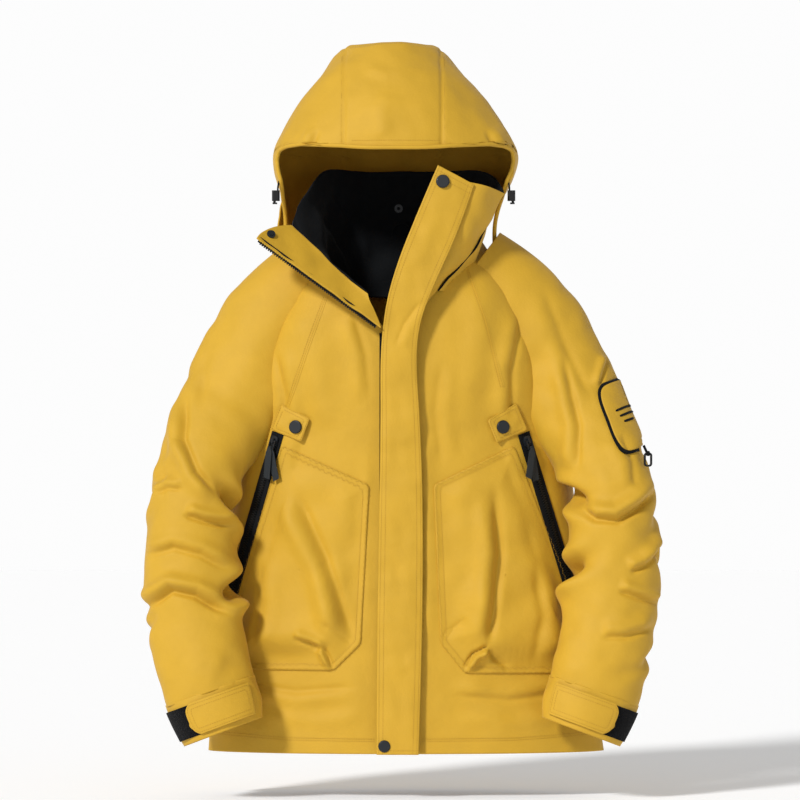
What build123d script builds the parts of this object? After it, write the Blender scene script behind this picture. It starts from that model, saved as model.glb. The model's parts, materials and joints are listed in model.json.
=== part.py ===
from build123d import *
import os
from math import atan2, degrees, radians, tan

# Hooded shell jacket, held up by its hanger loop, with the collar zip open.
#
# Frame: millimetres, +Z up, the front of the jacket faces -Y and the wearer's left side is +X.
# The origin is the top of the inside of the hanger loop, at the back of the neck, where a hook carries it.
# Soft parts are plain closed shells of the right size and place. Hardware is modelled as it is made.

os.makedirs("parts", exist_ok=True)

# ---------------------------------------------------------------- driving dimensions
FABRIC = 3.0            # wall of the shell: face fabric, membrane and lining together
HEM_Z = -751.0          # bottom edge
HEM_TOP_Z = -726.0      # top of the turned and stitched hem
NECK_Z = -20.0          # neck seam
FRONT_Y = -185.0        # flat front plane that the straight part of the front zip lies in
ZIP_X = -21.0           # centre line of the front zip
V_BOTTOM_Z = -160.0     # where the open part of the front zip ends
COLLAR_TOP_Z = 75.0
COLLAR_HALF = (107, 64)
COLLAR_CENTRE_Y = -56.5
TOOTH_PITCH = 3.6       # number 5 moulded teeth
TAPE = 1.2              # thickness of zip tape
SNAP_R = 9.5            # snap cap radius
GAP = 0.5               # clearance between neighbouring bodies

# level, half width, half depth, front plane, centre x
TORSO = [
    (HEM_Z, 281, 86, FRONT_Y, 6),
    (HEM_TOP_Z, 278.5, 87.2, FRONT_Y, 5.7),
    (-600, 266, 93, FRONT_Y, 4),
    (-450, 252, 100, FRONT_Y, 2),
    (-320, 234, 104, FRONT_Y, 0),
    (-220, 214, 102, FRONT_Y, 0),
    (-130, 176, 94, -178, 0),
    (-60, 135, 82, -155, 0),
    (NECK_Z, 108, 66, -125, 0),
]

# centre, direction down the arm, half width across the front view, half depth, for the wearer's right sleeve
SLEEVE = [
    ((-100, -72, -72), (-0.80, 0.00, -0.60), 62, 66),
    ((-165, -74, -135), (-0.66, -0.05, -0.75), 82, 68),
    ((-228, -90, -245), (-0.42, -0.16, -0.90), 80, 66),
    ((-288, -152, -362), (-0.25, -0.24, -0.94), 60, 57),
    ((-301, -170, -480), (-0.03, -0.12, -0.99), 62, 54),
    ((-289, -190, -590), (0.20, -0.10, -0.97), 62, 49),
    ((-268, -198, -663), (0.33, -0.05, -0.94), 65, 46),
]
CUFF = [
    ((-268, -198, -663), (0.33, -0.05, -0.94), 65, 46),
    ((-249, -202, -718), (0.35, -0.05, -0.935), 58, 43),
]
SHOULDER_PIVOT = (-200, -85, -50)       # on top of the wearer's right shoulder
ARMHOLE_NORMAL = (-0.80, -0.10, -0.59)  # square to the armhole seam, towards the hand

# level, half width, half depth, centre x, centre y of the hood
HOOD = [
    (8, 148, 102, -12, -80),
    (50, 165, 120, -12, -88),
    (98, 172, 126, -10, -90),
    (150, 158, 120, -9, -84),
    (200, 122, 102, -8, -72),
    (236, 82, 78, -6, -60),
    (254, 54, 52, -6, -54),
]
HOOD_SEAM_X = (-80, 62)                 # the two seams beside the centre panel
HOOD_WALL = 2.6
# the edge of the face opening as (y, z), from the brim down to the neck
HOOD_RIM = [(-204, 98), (-152, 89), (-125, 58), (-108, 18), (-106, -20)]

POCKET_ZIP_LENGTH = 246.0
POCKET_STAND = 1.2                      # air between a front panel and the patch pocket on it
POCKET_SKIN = 2.4                       # thickness of the pocket's front
# level, centre x, reach to the side of each pocket's sheet
POCKET_LEVELS = [(-312, 0, 205), (-476, 2, 243), (-642, 4.5, 263)]
POCKET_POINTS = 7

FAR = 1000.0


# ---------------------------------------------------------------- helpers
def oval(level, half_x, half_y, centre_x, centre_y, grow=0.0):
    """An upright ellipse's face at a level."""
    return Pos(centre_x, centre_y, level) * Ellipse(half_x + grow, half_y + grow)


def torso_body(grow=0.0):
    return loft([oval(z, a, b, cx, front + b, grow) for z, a, b, front, cx in TORSO])


def arm_body(stations, grow=0.0):
    """A lofted arm through elliptical stations, each square to the arm's direction."""
    faces = []
    for centre, along, half_w, half_d in stations:
        direction = Vector(*along).normalized()
        lateral = direction.cross(Vector(0, 1, 0)).normalized()
        plane = Plane(origin=centre, x_dir=lateral, z_dir=direction)
        faces.append(plane * Ellipse(half_w + grow, half_d + grow))
    return loft(faces)


def hood_body(shrink=0.0):
    """The hood as one closed form; a shrunken one is lower too, so the crown keeps its wall."""
    faces = []
    for z, a, b, cx, cy in HOOD:
        level = z - shrink if z == HOOD[-1][0] else z
        faces.append(oval(level, a, b, cx, cy, -shrink))
    return loft(faces)


def front_prism(points, near=-FAR, far=-88.0):
    """A prism over an outline given as (x, z), from y = near back to y = far."""
    outline = Plane(origin=(0, far, 0), x_dir=(1, 0, 0), z_dir=(0, -1, 0))
    face = make_face(Polyline(*points, close=True))
    return extrude(outline * face, amount=far - near)


def slab(low, high):
    """A box between two corners."""
    size = [high[i] - low[i] for i in range(3)]
    middle = [(high[i] + low[i]) / 2 for i in range(3)]
    return Pos(*middle) * Box(*size)


def beyond(origin, normal, gap=0.0):
    """Everything on the normal's side of a plane, as a very large block."""
    plane = Plane(origin=origin, z_dir=normal)
    return plane * Pos(0, 0, FAR / 2 + gap) * Box(FAR, FAR, FAR)


def solids_of(shape):
    """The solids of a boolean result, largest first, without crumbs."""
    found = sorted(shape.solids(), key=lambda s: -s.volume)
    return [s for s in found if s.volume > 0.02 * found[0].volume]


def mirrored(shape):
    return mirror(shape, about=Plane.YZ)


def write(name, *shapes):
    """One STEP file per node, holding its separate solids."""
    solids = []
    for shape in shapes:
        solids.extend(shape.solids())
    export_step(Compound(children=solids), f"parts/{name}.step")


def rack(length, side, thickness=2.0):
    """A comb of moulded zip teeth along +Y, from 0 to length, meshing with the rack of the other side."""
    spine, reach, width = 3.4, 1.5, 0.42 * TOOTH_PITCH
    count = int((length - width) / TOOTH_PITCH)
    points = [(spine * side, 0)]
    for i in range(count):
        start = i * TOOTH_PITCH + (0 if side > 0 else TOOTH_PITCH / 2)
        points += [
            (0.9 * side, start + 0.01),
            (-reach * side + 0.9 * side, start + 0.01),
            (-reach * side + 0.9 * side, start + width),
            (0.9 * side, start + width),
        ]
    points += [(0.9 * side, length), (spine * side, length)]
    clean = [points[0]]
    for p in points[1:]:
        if (Vector(*p) - Vector(*clean[-1])).length > 1e-3:
            clean.append(p)
    return Pos(0, 0, 0.1) * extrude(make_face(Polyline(*clean, close=True)), amount=thickness)


def rail(length, side, thickness=2.0):
    """One side's teeth as a plain rail along +Y, where single teeth are left out."""
    return Pos(side * 1.7, length / 2, 0.1 + thickness / 2) * Box(3.0, length, thickness)


def tape(length, half_width, split_gap=0.6):
    """Two flat zip tapes along +Y, from 0 to length, outer faces at z = 0."""
    width = half_width - split_gap / 2
    return [
        Pos(side * (split_gap / 2 + width / 2), length / 2, -TAPE / 2) * Box(width, length, TAPE)
        for side in (-1, 1)
    ]


BAIL_Z = 6.4            # height of the pull's pin over the zip tape


def slider():
    """A moulded slider with its arch on top. Origin at its middle, on the tape's face; +Y is closing."""
    plate = Pos(0, 0, 3.4) * Box(10.4, 14, 1.8)
    plate = fillet(plate.edges().filter_by(Axis.Z), radius=2.6)
    flanges = [Pos(s * 4.6, 0, 1.5) * Box(1.2, 12, 2.0) for s in (-1, 1)]
    arch = Pos(0, 0, 6.3) * Box(3.0, 7.4, 4.2)
    hole = Pos(0, 0, BAIL_Z) * Rot(0, 90, 0) * Cylinder(1.35, 10)
    return plate + flanges[0] + flanges[1] + arch - hole


def pull_bail():
    """The wire bail on the slider's arch: pin, two arms and a lower bar. Origin at the middle of its pin."""
    arm_length = 11.0
    pin = Rot(0, 90, 0) * Cylinder(1.2, 9.2)
    arms = [Pos(s * 3.9, -arm_length / 2, 0) * Box(1.4, arm_length + 2.4, 2.0) for s in (-1, 1)]
    bar = Pos(0, -arm_length, 0) * Rot(0, 90, 0) * Cylinder(1.0, 9.2)
    return pin + arms[0] + arms[1] + bar


def ribbon(tail_length, hang, spread):
    """A ribbon folded round a bar: a small sleeve along X at the origin, and two flat tails towards -Y."""
    loop = Rot(0, 90, 0) * (Cylinder(2.4, 4.0) - Cylinder(1.6, 4.2))
    outline = [(-1.6, -2.3), (1.6, -2.3), (5.6, -12), (5.6, -tail_length), (-5.6, -tail_length), (-5.6, -12)]
    tail = extrude(make_face(Polyline(*outline, close=True)), amount=0.9)
    front = Pos(0, 0, 0.6) * Rot(0, 0, -spread / 5) * tail
    back = Pos(0, 0, -0.9) * Rot(0, 0, spread) * tail
    return Rot(0, 0, hang) * (loop + front + back)


def snap_cap(radius=SNAP_R, height=3.0):
    """A domed press-stud cap standing on z = 0."""
    cap = Pos(0, 0, height / 2) * Cylinder(radius, height)
    return fillet(cap.faces().sort_by(Axis.Z)[-1].edges(), radius=1.6)


def frame_at(origin, outward, up=(0, 0, 1)):
    """A plane whose z is outward and whose y is up, as near as it can be."""
    out = Vector(*outward).normalized()
    across = Vector(*up).cross(out).normalized()
    return Plane(origin=origin, x_dir=across, z_dir=out)


# ---------------------------------------------------------------- bodies that the panels are cut from
torso_outer = torso_body()
torso_inner = torso_body(-FABRIC)
arm_right = arm_body(SLEEVE)
arm_right_inner = arm_body(SLEEVE, -FABRIC)
arm_left_inner = mirrored(arm_right_inner)


def on_front(x, z, solid=torso_outer):
    """The point of the front surface in front of (x, z), and its outward normal."""
    hits = solid.find_intersection_points(Axis((x, -FAR, z), (0, 1, 0)))
    point, normal = min(hits, key=lambda h: h[0].Y)
    if normal.Y > 0:
        normal = normal * -1
    return point, normal


# ---------------------------------------------------------------- torso panels
def torso_panels():
    shell = torso_outer - torso_inner
    shell = shell - arm_right_inner - arm_left_inner
    neck = front_prism([(ZIP_X, V_BOTTOM_Z), (-98, -62), (-98, 20), (74, 20), (44, -70)])
    shell = shell - neck
    side_y = -85
    back = shell & slab((-FAR, side_y, -FAR), (FAR, FAR, FAR))
    front = shell & slab((-FAR, -FAR, -FAR), (FAR, side_y, FAR))
    tape_half = 11.0
    right = front & slab((-FAR, -FAR, -FAR), (ZIP_X - tape_half, FAR, FAR))
    left = front & slab((ZIP_X + tape_half, -FAR, -FAR), (FAR, FAR, FAR))
    write("back_panel", *solids_of(back)[:1])
    write("right_front_panel", *solids_of(right)[:1])
    write("left_front_panel", *solids_of(left)[:1])


# ---------------------------------------------------------------- sleeves
def sleeves():
    clear_torso = torso_body(GAP + 0.7)
    tube = arm_right - arm_right_inner - clear_torso
    cap = tube - beyond(SHOULDER_PIVOT, ARMHOLE_NORMAL, -1.0)
    cap = cap & slab((-FAR, -FAR, -FAR), (-60, FAR, FAR))
    lower = tube & beyond(SHOULDER_PIVOT, ARMHOLE_NORMAL, 1.0)
    cap_solid = solids_of(cap)[0]
    lower_solid = solids_of(lower)[0]
    write("shoulder_yokes", cap_solid, mirrored(cap_solid))
    write("right_sleeve", lower_solid)
    write("left_sleeve", mirrored(lower_solid))


# ---------------------------------------------------------------- cuffs with their straps
def cuff_frame():
    """The cuff's own axes, at its middle."""
    (x0, y0, z0), along, _, _ = CUFF[0]
    (x1, y1, z1), _, _, _ = CUFF[1]
    direction = Vector(*along).normalized()
    lateral = direction.cross(Vector(0, 1, 0)).normalized()
    middle = Vector((x0 + x1) / 2, (y0 + y1) / 2, (z0 + z1) / 2)
    return Plane(origin=middle, x_dir=lateral, z_dir=direction)


STRAP_HALF_HEIGHT = 23.0
STRAP_INNER, STRAP_OUTER = 50.0, -30.0    # across the cuff, from its middle; inner is towards the torso
LOOP_MIDDLE = -48.0


def cuffs():
    def band(low, high):
        return arm_body(CUFF, high) - arm_body(CUFF, low)

    def zone(centre, width, height):
        # across the cuff from its middle, on its front half only
        return frame * Pos(centre, FAR / 2, 0) * Box(width, FAR, height)

    frame = cuff_frame()
    middle, width = (STRAP_INNER + STRAP_OUTER) / 2, STRAP_INNER - STRAP_OUTER
    cuff = band(-FABRIC, 0.0)
    strap = band(2.2, 4.4) & zone(middle, width, 2 * STRAP_HALF_HEIGHT)
    hook = band(1.8, 2.15) & zone(STRAP_OUTER + 14, 26, 2 * STRAP_HALF_HEIGHT - 10)
    loop = band(0.2, 1.5) & zone(LOOP_MIDDLE, 64, 2 * STRAP_HALF_HEIGHT - 2)
    for name, shapes in (("cuff", [cuff]), ("cuff_strap", [strap, hook]), ("cuff_loop_tape", [loop])):
        found = [solids_of(shape)[0] for shape in shapes]
        write("right_" + name, *found)
        write("left_" + name, *[mirrored(solid) for solid in found])


# ---------------------------------------------------------------- hood
def hood():
    shell = hood_body() - hood_body(HOOD_WALL)
    rim = Spline(*HOOD_RIM)
    (rim_y, rim_z), (foot_y, foot_z) = HOOD_RIM[0], HOOD_RIM[-1]
    ahead = -320
    outline = [Line((ahead, rim_z), (rim_y, rim_z)), rim, Line((foot_y, foot_z), (ahead, foot_z)),
               Line((ahead, foot_z), (ahead, rim_z))]
    side_view = Plane(origin=(-FAR, 0, 0), x_dir=(0, 1, 0), z_dir=(1, 0, 0))
    opening = extrude(side_view * make_face(outline), amount=2 * FAR)
    shell = shell - opening
    low_x, high_x = HOOD_SEAM_X
    right = shell & slab((-FAR, -FAR, -FAR), (low_x, FAR, FAR))
    centre = shell & slab((low_x, -FAR, -FAR), (high_x, FAR, FAR))
    left = shell & slab((high_x, -FAR, -FAR), (FAR, FAR, FAR))
    write("hood_right_panel", solids_of(right)[0])
    write("hood_centre_panel", solids_of(centre)[0])
    write("hood_left_panel", solids_of(left)[0])


# ---------------------------------------------------------------- stand collar, lapel and lining
def sheet(rows, thickness):
    """A thick sheet through a grid of points."""
    face = Face.make_surface_from_array_of_points([[Vector(*p) for p in row] for row in rows])
    return thicken(face, amount=thickness)


def collar():
    def ring(outer, inner):
        wall = Ellipse(COLLAR_HALF[0] - outer, COLLAR_HALF[1] - outer)
        wall = wall - Ellipse(COLLAR_HALF[0] - inner, COLLAR_HALF[1] - inner)
        return extrude(Pos(0, COLLAR_CENTRE_Y, NECK_Z + 0.2) * wall, amount=COLLAR_TOP_Z - NECK_Z)

    horseshoe = slab((-FAR, -100, -FAR), (FAR, FAR, FAR))
    write("collar_shell", solids_of(ring(0, 2.4) & horseshoe)[0])
    write("collar_lining", solids_of(ring(2.5, 3.9) & horseshoe)[0])
    # the wearer's right front of the collar lies turned outwards, lining side up
    lapel = sheet([
        [(-24, -196, -156), (-60, -199, -130), (-130, -198, -81), (-200, -190, -29)],
        [(-40, -191, -130), (-66, -187, -108), (-124, -176, -62), (-180, -168, -18)],
        [(-56, -182, -106), (-74, -172, -88), (-112, -150, -44), (-150, -150, 0)],
        [(-90, -140, -60), (-98, -132, -40), (-110, -112, 0), (-111, -104, 68)],
    ], 2.0)
    write("right_lapel", lapel)
    # the wearer's left front of the collar stands, face fabric outwards
    stand = sheet([
        [(-8, -187, -156), (48, -176, -104), (90, -136, -48), (112, -108, -16)],
        [(2, -187, -112), (50, -176, -66), (98, -136, -18), (114, -106, 8)],
        [(24, -185, -40), (58, -172, -10), (106, -134, 18), (116, -106, 28)],
        [(56, -178, 66), (78, -168, 56), (112, -138, 42), (122, -108, 46)],
    ], 2.0)
    write("left_collar_front", stand)


# ---------------------------------------------------------------- front zip and storm flap
FLAP_LEFT, FLAP_RIGHT = -35.0, 23.0
FLAP_BACK_Y, FLAP_FRONT_Y = -194.6, -197.0
FLAP_TOP_Z = V_BOTTOM_Z - 12
ZIP_PLANE_Y = FRONT_Y - 0.4
SLIDER_REST_Z = V_BOTTOM_Z - 14


def front_zip():
    bottom = HEM_Z + 8
    frame = Plane(origin=(ZIP_X, ZIP_PLANE_Y, bottom), x_dir=(1, 0, 0), z_dir=(0, -1, 0))
    closed = V_BOTTOM_Z - bottom
    open_tapes, open_teeth = open_zip()
    write("front_zip_tape", *[frame * t for t in tape(closed, 10.8)], *open_tapes)
    teeth = [frame * Pos(0, 10, 0) * rack(closed - 18, s) for s in (-1, 1)]
    write("front_zip_teeth", *teeth, *open_teeth)
    box = Pos(0, 4, 1.9) * Box(9.6, 9, 3.6)
    write("front_zip_box", frame * Pos(0, -4.8, 0) * box)


def open_zip():
    """The open part of the zip: one half on the lapel's edge, the other up the standing collar."""
    tapes = []
    teeth = []
    for low, high, outward in (
        (Vector(-38, -207.0, -153), Vector(-203, -200.5, -33), Vector(0.12, -0.97, 0.2)),
        (Vector(-12, -190.6, -148), Vector(52, -185.0, 56), Vector(-0.05, -1, 0)),
    ):
        along = (high - low).normalized()
        outward = (outward - along * outward.dot(along)).normalized()
        frame = Plane(origin=low, x_dir=along.cross(outward), z_dir=outward)
        length = (high - low).length
        tapes.append(frame * Pos(5.0, length / 2, -TAPE / 2) * Box(8.0, length, TAPE))
        teeth.append(frame * rail(length - 2, 1))
    return tapes, teeth


def storm_flap():
    lower = slab((FLAP_LEFT, FLAP_FRONT_Y, HEM_Z), (FLAP_RIGHT, FLAP_BACK_Y, FLAP_TOP_Z))
    write("storm_flap", lower)
    upper = sheet([
        [(-33, -203, -171), (-12, -201, -171), (6, -199, -171), (22, -197, -171)],
        [(-28, -205, -120), (-6, -202, -120), (14, -199, -118), (36, -194, -112)],
        [(-6, -206, -40), (16, -202, -38), (40, -197, -34), (62, -189, -28)],
        [(48, -196, 76), (66, -193, 70), (84, -188, 62), (100, -180, 55)],
    ], 2.0)
    write("storm_flap_collar", upper)
    hinge_hem = slab((FLAP_RIGHT + GAP, FLAP_FRONT_Y, HEM_Z), (FLAP_RIGHT + 5, FRONT_Y - 0.6, FLAP_TOP_Z))
    write("storm_flap_seam", hinge_hem)


def front_slider():
    frame = Plane(origin=(ZIP_X, ZIP_PLANE_Y, SLIDER_REST_Z), x_dir=(1, 0, 0), z_dir=(0, -1, 0))
    plate = fillet((Pos(0, 0, 3.2) * Box(10.4, 14, 1.4)).edges().filter_by(Axis.Z), radius=2.6)
    flanges = [Pos(s * 4.6, 0, 1.4) * Box(1.2, 12, 2.2) for s in (-1, 1)]
    post = Pos(0, 3, 4.9) * Cylinder(1.2, 2.2)
    head = Pos(0, 3, 6.6) * Cylinder(2.2, 1.2)
    write("front_zip_slider", frame * (plate + flanges[0] + flanges[1] + post + head))
    ring = Pos(0, 3, 4.9) * (Cylinder(3.4, 1.4) - Cylinder(1.3, 1.6))
    tab = Pos(0, -16, 4.9) * Box(7.0, 33, 1.4)
    tab = fillet(tab.edges().filter_by(Axis.Z), radius=2.4)
    tab = tab - Pos(0, 3, 4.9) * Cylinder(3.4, 3)
    write("front_zip_pull", frame * (ring + tab))


# ---------------------------------------------------------------- pockets
# all points are (x, z); a tab's corners start at its hinge edge and go round
POCKETS = {
    "right": {
        "zip_top": (-174, -300),
        "zip_bottom": (-242, -536),
        "tab": [(-171, -260), (-131, -280), (-143, -313), (-186, -296)],
        "snap": (-149, -292),
        "panel": [(-160, -318), (-46, -373), (-58, -596), (-96, -634), (-252, -634), (-250, -576),
                  (-226, -545)],
    },
    "left": {
        "zip_top": (170, -300),
        "zip_bottom": (242, -536),
        "tab": [(162, -258), (121, -282), (134, -315), (178, -296)],
        "snap": (141, -292),
        "panel": [(156, -318), (44, -373), (56, -596), (88, -636), (262, -636), (264, -570), (225, -545)],
    },
}


def pocket_zip_frame(pocket):
    """Origin at the zip's top end, y along the zip upwards, z outwards."""
    top, _ = on_front(*pocket["zip_top"])
    bottom, _ = on_front(*pocket["zip_bottom"])
    middle_x = (pocket["zip_top"][0] + pocket["zip_bottom"][0]) / 2
    middle_z = (pocket["zip_top"][1] + pocket["zip_bottom"][1]) / 2
    middle, normal = on_front(middle_x, middle_z)
    along = (top - bottom).normalized()
    outward = (normal - along * normal.dot(along)).normalized()
    # the lowest place for the flat tape that keeps it off the front panel all along
    across = along.cross(outward)
    height = 0.0
    for i in range(7):
        for offset in (-9.5, 9.5):
            at = top + (bottom - top) * (i / 6) + across * offset
            point, _ = on_front(at.X, at.Z)
            height = max(height, (point - middle).dot(outward))
    height += TAPE + 0.4
    origin = middle + outward * height + along * (POCKET_ZIP_LENGTH / 2)
    return Plane(origin=origin, x_dir=along.cross(outward), z_dir=outward), along, outward


def pocket_panel(side, pocket):
    """A patch pocket's front, standing a little off the front panel all over."""
    sign = -1 if side == "right" else 1
    faces = []
    for level, centre, reach in POCKET_LEVELS:
        inner = []
        outer = []
        for i in range(POCKET_POINTS):
            x = centre + sign * (32 + (reach - 32) * (i / (POCKET_POINTS - 1)) ** 0.8)
            point, normal = on_front(x, level)
            near = point + normal * POCKET_STAND
            proud = point + normal * (POCKET_STAND + POCKET_SKIN)
            inner.append(Vector(near.X, near.Y, level))
            outer.append(Vector(proud.X, proud.Y, level))
        edges = [Spline(*inner), Line(inner[-1], outer[-1]), Spline(*outer[::-1]), Line(outer[0], inner[0])]
        faces.append(make_face(edges))
    return solids_of(loft(faces) & front_prism(pocket["panel"]))[0]


def pockets():
    studs = []
    for side, pocket in POCKETS.items():
        frame, along, outward = pocket_zip_frame(pocket)
        start = frame * Pos(0, -POCKET_ZIP_LENGTH, 0)
        write(f"{side}_pocket_zip_tape", *[start * t for t in tape(POCKET_ZIP_LENGTH, 10.0)])
        rails = [start * Pos(0, 2, 0) * rail(POCKET_ZIP_LENGTH - 8, s) for s in (-1, 1)]
        write(f"{side}_pocket_zip_teeth", *rails)
        write(f"{side}_pocket_panel", pocket_panel(side, pocket))
        # slider near the top end of the zip
        rest = frame * Pos(0, -12, 0)
        write(f"{side}_pocket_slider", rest * slider())
        pin = rest * Pos(0, 0, BAIL_Z)
        write(f"{side}_pocket_pull", pin * pull_bail())
        bar = pin * Pos(0, -11.0, 0)
        lean = degrees(atan2(along.X, along.Z))
        spread = 14 if side == "right" else -14
        write(f"{side}_pull_ribbon", bar * ribbon(46, lean * 0.85, spread))
        studs.append(tab(side, pocket))
    write("pocket_snap_studs", *studs)


def tab(side, pocket):
    """The snap tab over the top end of a pocket zip, on its own hinge line, with its press stud."""
    centre_x = sum(x for x, _ in pocket["tab"]) / 4
    centre_z = sum(z for _, z in pocket["tab"]) / 4
    point, normal = on_front(centre_x, centre_z)
    plane = frame_at(point + normal * 5.0, normal)
    local = []
    for x, z in pocket["tab"]:
        # where the line along +Y through (x, z) meets the tab's plane
        y = plane.origin.Y - ((x - plane.origin.X) * normal.X + (z - plane.origin.Z) * normal.Z) / normal.Y
        local.append(plane.to_local_coords(Vector(x, y, z)))
    outline = make_face(Polyline(*[(p.X, p.Y) for p in local], close=True))
    write(f"{side}_pocket_tab", plane * extrude(outline, amount=2.0))
    x, z = pocket["snap"]
    y = plane.origin.Y - ((x - plane.origin.X) * normal.X + (z - plane.origin.Z) * normal.Z) / normal.Y
    at = plane.to_local_coords(Vector(x, y, z))
    socket = Pos(at.X, at.Y, -0.7) * (Cylinder(5.6, 1.4) - Cylinder(2.6, 1.6))
    write(f"{side}_pocket_snap_cap", plane * Pos(at.X, at.Y, 2.0) * snap_cap(), plane * socket)
    stud = Pos(at.X, at.Y, -3.0) * Cylinder(5.6, 1.6) + Pos(at.X, at.Y, -1.4) * Cylinder(2.2, 2.0)
    stud = plane * stud
    return stud


# ---------------------------------------------------------------- hem, snaps and trims
def hem_band():
    """The turned hem, doubled and stitched, open at the front zip."""
    def ring(grow):
        return loft([oval(z, a, b, cx, front + b, grow) for z, a, b, front, cx in TORSO[:2]])

    gap = slab((ZIP_X - 13, -FAR, -FAR), (FLAP_RIGHT + 6, -100, FAR))
    write("hem_band", solids_of(ring(2.4) - ring(0.6) - gap)[0])


def snaps():
    """Press studs at the hem and the collar."""
    facing = Plane(origin=(ZIP_X - 4, FLAP_FRONT_Y, HEM_Z + 12), x_dir=(1, 0, 0), z_dir=(0, -1, 0))
    socket = Pos(0, 0, -3.1) * (Cylinder(5.0, 1.4) - Cylinder(2.4, 1.6))
    write("hem_snap_cap", facing * snap_cap(8.5), facing * socket)
    collar_at = frame_at((57, -199.6, 52), (-0.05, -0.97, 0.20))
    write("collar_snap_cap", collar_at * snap_cap())
    lapel_at = frame_at((-184, -185.5, -22), (0.22, -0.86, 0.46))
    stud = Pos(0, 0, 1.2) * Cylinder(6.0, 2.4) + Pos(0, 0, 3.0) * Cylinder(2.4, 1.6)
    write("lapel_snap_stud", lapel_at * stud)
    ring_at = Plane(origin=(-5, 3.0, 22), x_dir=(1, 0, 0), z_dir=(0, -1, 0))
    write("liner_snap_socket", ring_at * (Pos(0, 0, 0.8) * (Cylinder(6.0, 1.6) - Cylinder(2.4, 1.8))))


def hanger_loop():
    """An arched tape sewn into the neck seam. A hook under the arch carries the jacket."""
    inner, thick, depth = 14.0, 1.4, 5.0
    plane = Plane(origin=(0, depth / 2, -inner), x_dir=(1, 0, 0), z_dir=(0, -1, 0))
    arch = Cylinder(inner + thick, depth) - Cylinder(inner, depth + 1)
    arch = Pos(0, 0, depth / 2) * arch & Pos(0, FAR / 2, 0) * Box(FAR, FAR, FAR)
    legs = [Pos(s * (inner + thick / 2), -4, depth / 2) * Box(thick, 8, depth) for s in (-1, 1)]
    write("hanger_loop", plane * (arch + legs[0] + legs[1]))


# ---------------------------------------------------------------- sleeve badge and its clip ring
BADGE_AT = (312, -276)          # x and z of the badge's middle
BADGE_ROLL = 18.0               # lean of the badge along the arm, in degrees
BADGE_STAND = 1.2               # air between the sleeve and the badge at its middle
BADGE_CURVE = 78.0              # radius it's bent to, round the arm


def badge():
    point, normal = on_front(*BADGE_AT, mirrored(arm_right))
    lean = radians(BADGE_ROLL)
    face = frame_at(point + normal * BADGE_STAND, normal, (lean, 0, 1))
    axis = face * Pos(0, 0, -BADGE_CURVE) * Rot(90, 0, 0)
    for name, width, height, low, high in (
        ("badge_border", 64, 100, 0.0, 0.9), ("badge_face", 57, 93, 0.95, 2.0),
    ):
        skin = axis * (Cylinder(BADGE_CURVE + high, 150) - Cylinder(BADGE_CURVE + low, 160))
        prism = face * Pos(0, 0, -40) * extrude(RectangleRounded(width, height, 17), amount=60)
        write(f"sleeve_{name}", solids_of(skin & prism)[0])


RING_PIVOT = (345, -183, -329)
RING_FACING = (0.25, -0.97, 0)


def clip_ring():
    """A rounded oblong ring hanging from a short webbing loop below the badge."""
    plane = frame_at(RING_PIVOT, RING_FACING)
    ring = RectangleRounded(12, 20, 4.5) - RectangleRounded(6.6, 14.6, 2.0)
    write("clip_ring", plane * Pos(0, -8.65, -1.2) * extrude(ring, amount=2.4))
    webbing = Rot(0, 90, 0) * (Cylinder(3.6, 3.6) - Cylinder(2.8, 4.0))
    tail = Pos(-2.6, 5.5, -3.2) * Rot(0, 0, 26) * Box(3.6, 13, 0.8)
    webbing = webbing + (Pos(0, 1.5, -3.2) * Box(3.6, 3.0, 0.8)) + tail
    write("ring_webbing", plane * webbing)


# ---------------------------------------------------------------- hood drawcord ends
CORD_R = 1.25
CORD_ROUTE = [(149.6, -126, 57), (151.6, -127.6, 50), (152, -128, 41), (152, -128, 28)]
LOCK_MIDDLE = (152, -128, 35)
HOOD_MIRROR_X = -12.0                   # the hood sits a little to the wearer's right


def bend_radii(route):
    """The largest comfortable bend at each corner of a route."""
    radii = []
    for before, corner, after in zip(route, route[1:], route[2:]):
        arriving = Vector(*corner) - Vector(*before)
        leaving = Vector(*after) - Vector(*corner)
        half_turn = radians(arriving.get_angle(leaving) / 2)
        radii.append(0.45 * min(arriving.length, leaving.length) / tan(half_turn))
    return radii


def cord_locks():
    """On each side of the hood a cord end leaves the rim and carries a spring cord lock."""
    radii = bend_radii(CORD_ROUTE)
    path = FilletPolyline(*[Vector(*p) for p in CORD_ROUTE], radius=radii)
    start = Plane(origin=path @ 0, z_dir=path % 0)
    cord = sweep(start * Circle(CORD_R), path)
    body = fillet(Box(11, 8, 15).edges().filter_by(Axis.Z), radius=2.8)
    body = body - Pos(-2.6, 0, 0) * Cylinder(CORD_R + 0.25, 20)
    body = body - Pos(2.0, 0, -3.5) * Cylinder(2.1, 10)
    button = Pos(2.0, 0, -6.5) * Cylinder(1.85, 6.5) + Pos(1.4, 0, -10.8) * Box(6.4, 6.4, 2.2)
    place = Pos(*LOCK_MIDDLE) * Pos(2.6, 0, 0)
    for name, shape in (("hood_cord", cord), ("cord_lock", place * body), ("lock_button", place * button)):
        write("left_" + name, shape)
        write("right_" + name, Pos(2 * HOOD_MIRROR_X, 0, 0) * mirrored(shape))


# ---------------------------------------------------------------- build
torso_panels()
sleeves()
cuffs()
hood()
collar()
front_zip()
storm_flap()
front_slider()
pockets()
hem_band()
snaps()
hanger_loop()
badge()
clip_ring()
cord_locks()
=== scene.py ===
import json
import math
import bpy
import numpy as np
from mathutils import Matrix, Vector
from mathutils.bvhtree import BVHTree


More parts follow.
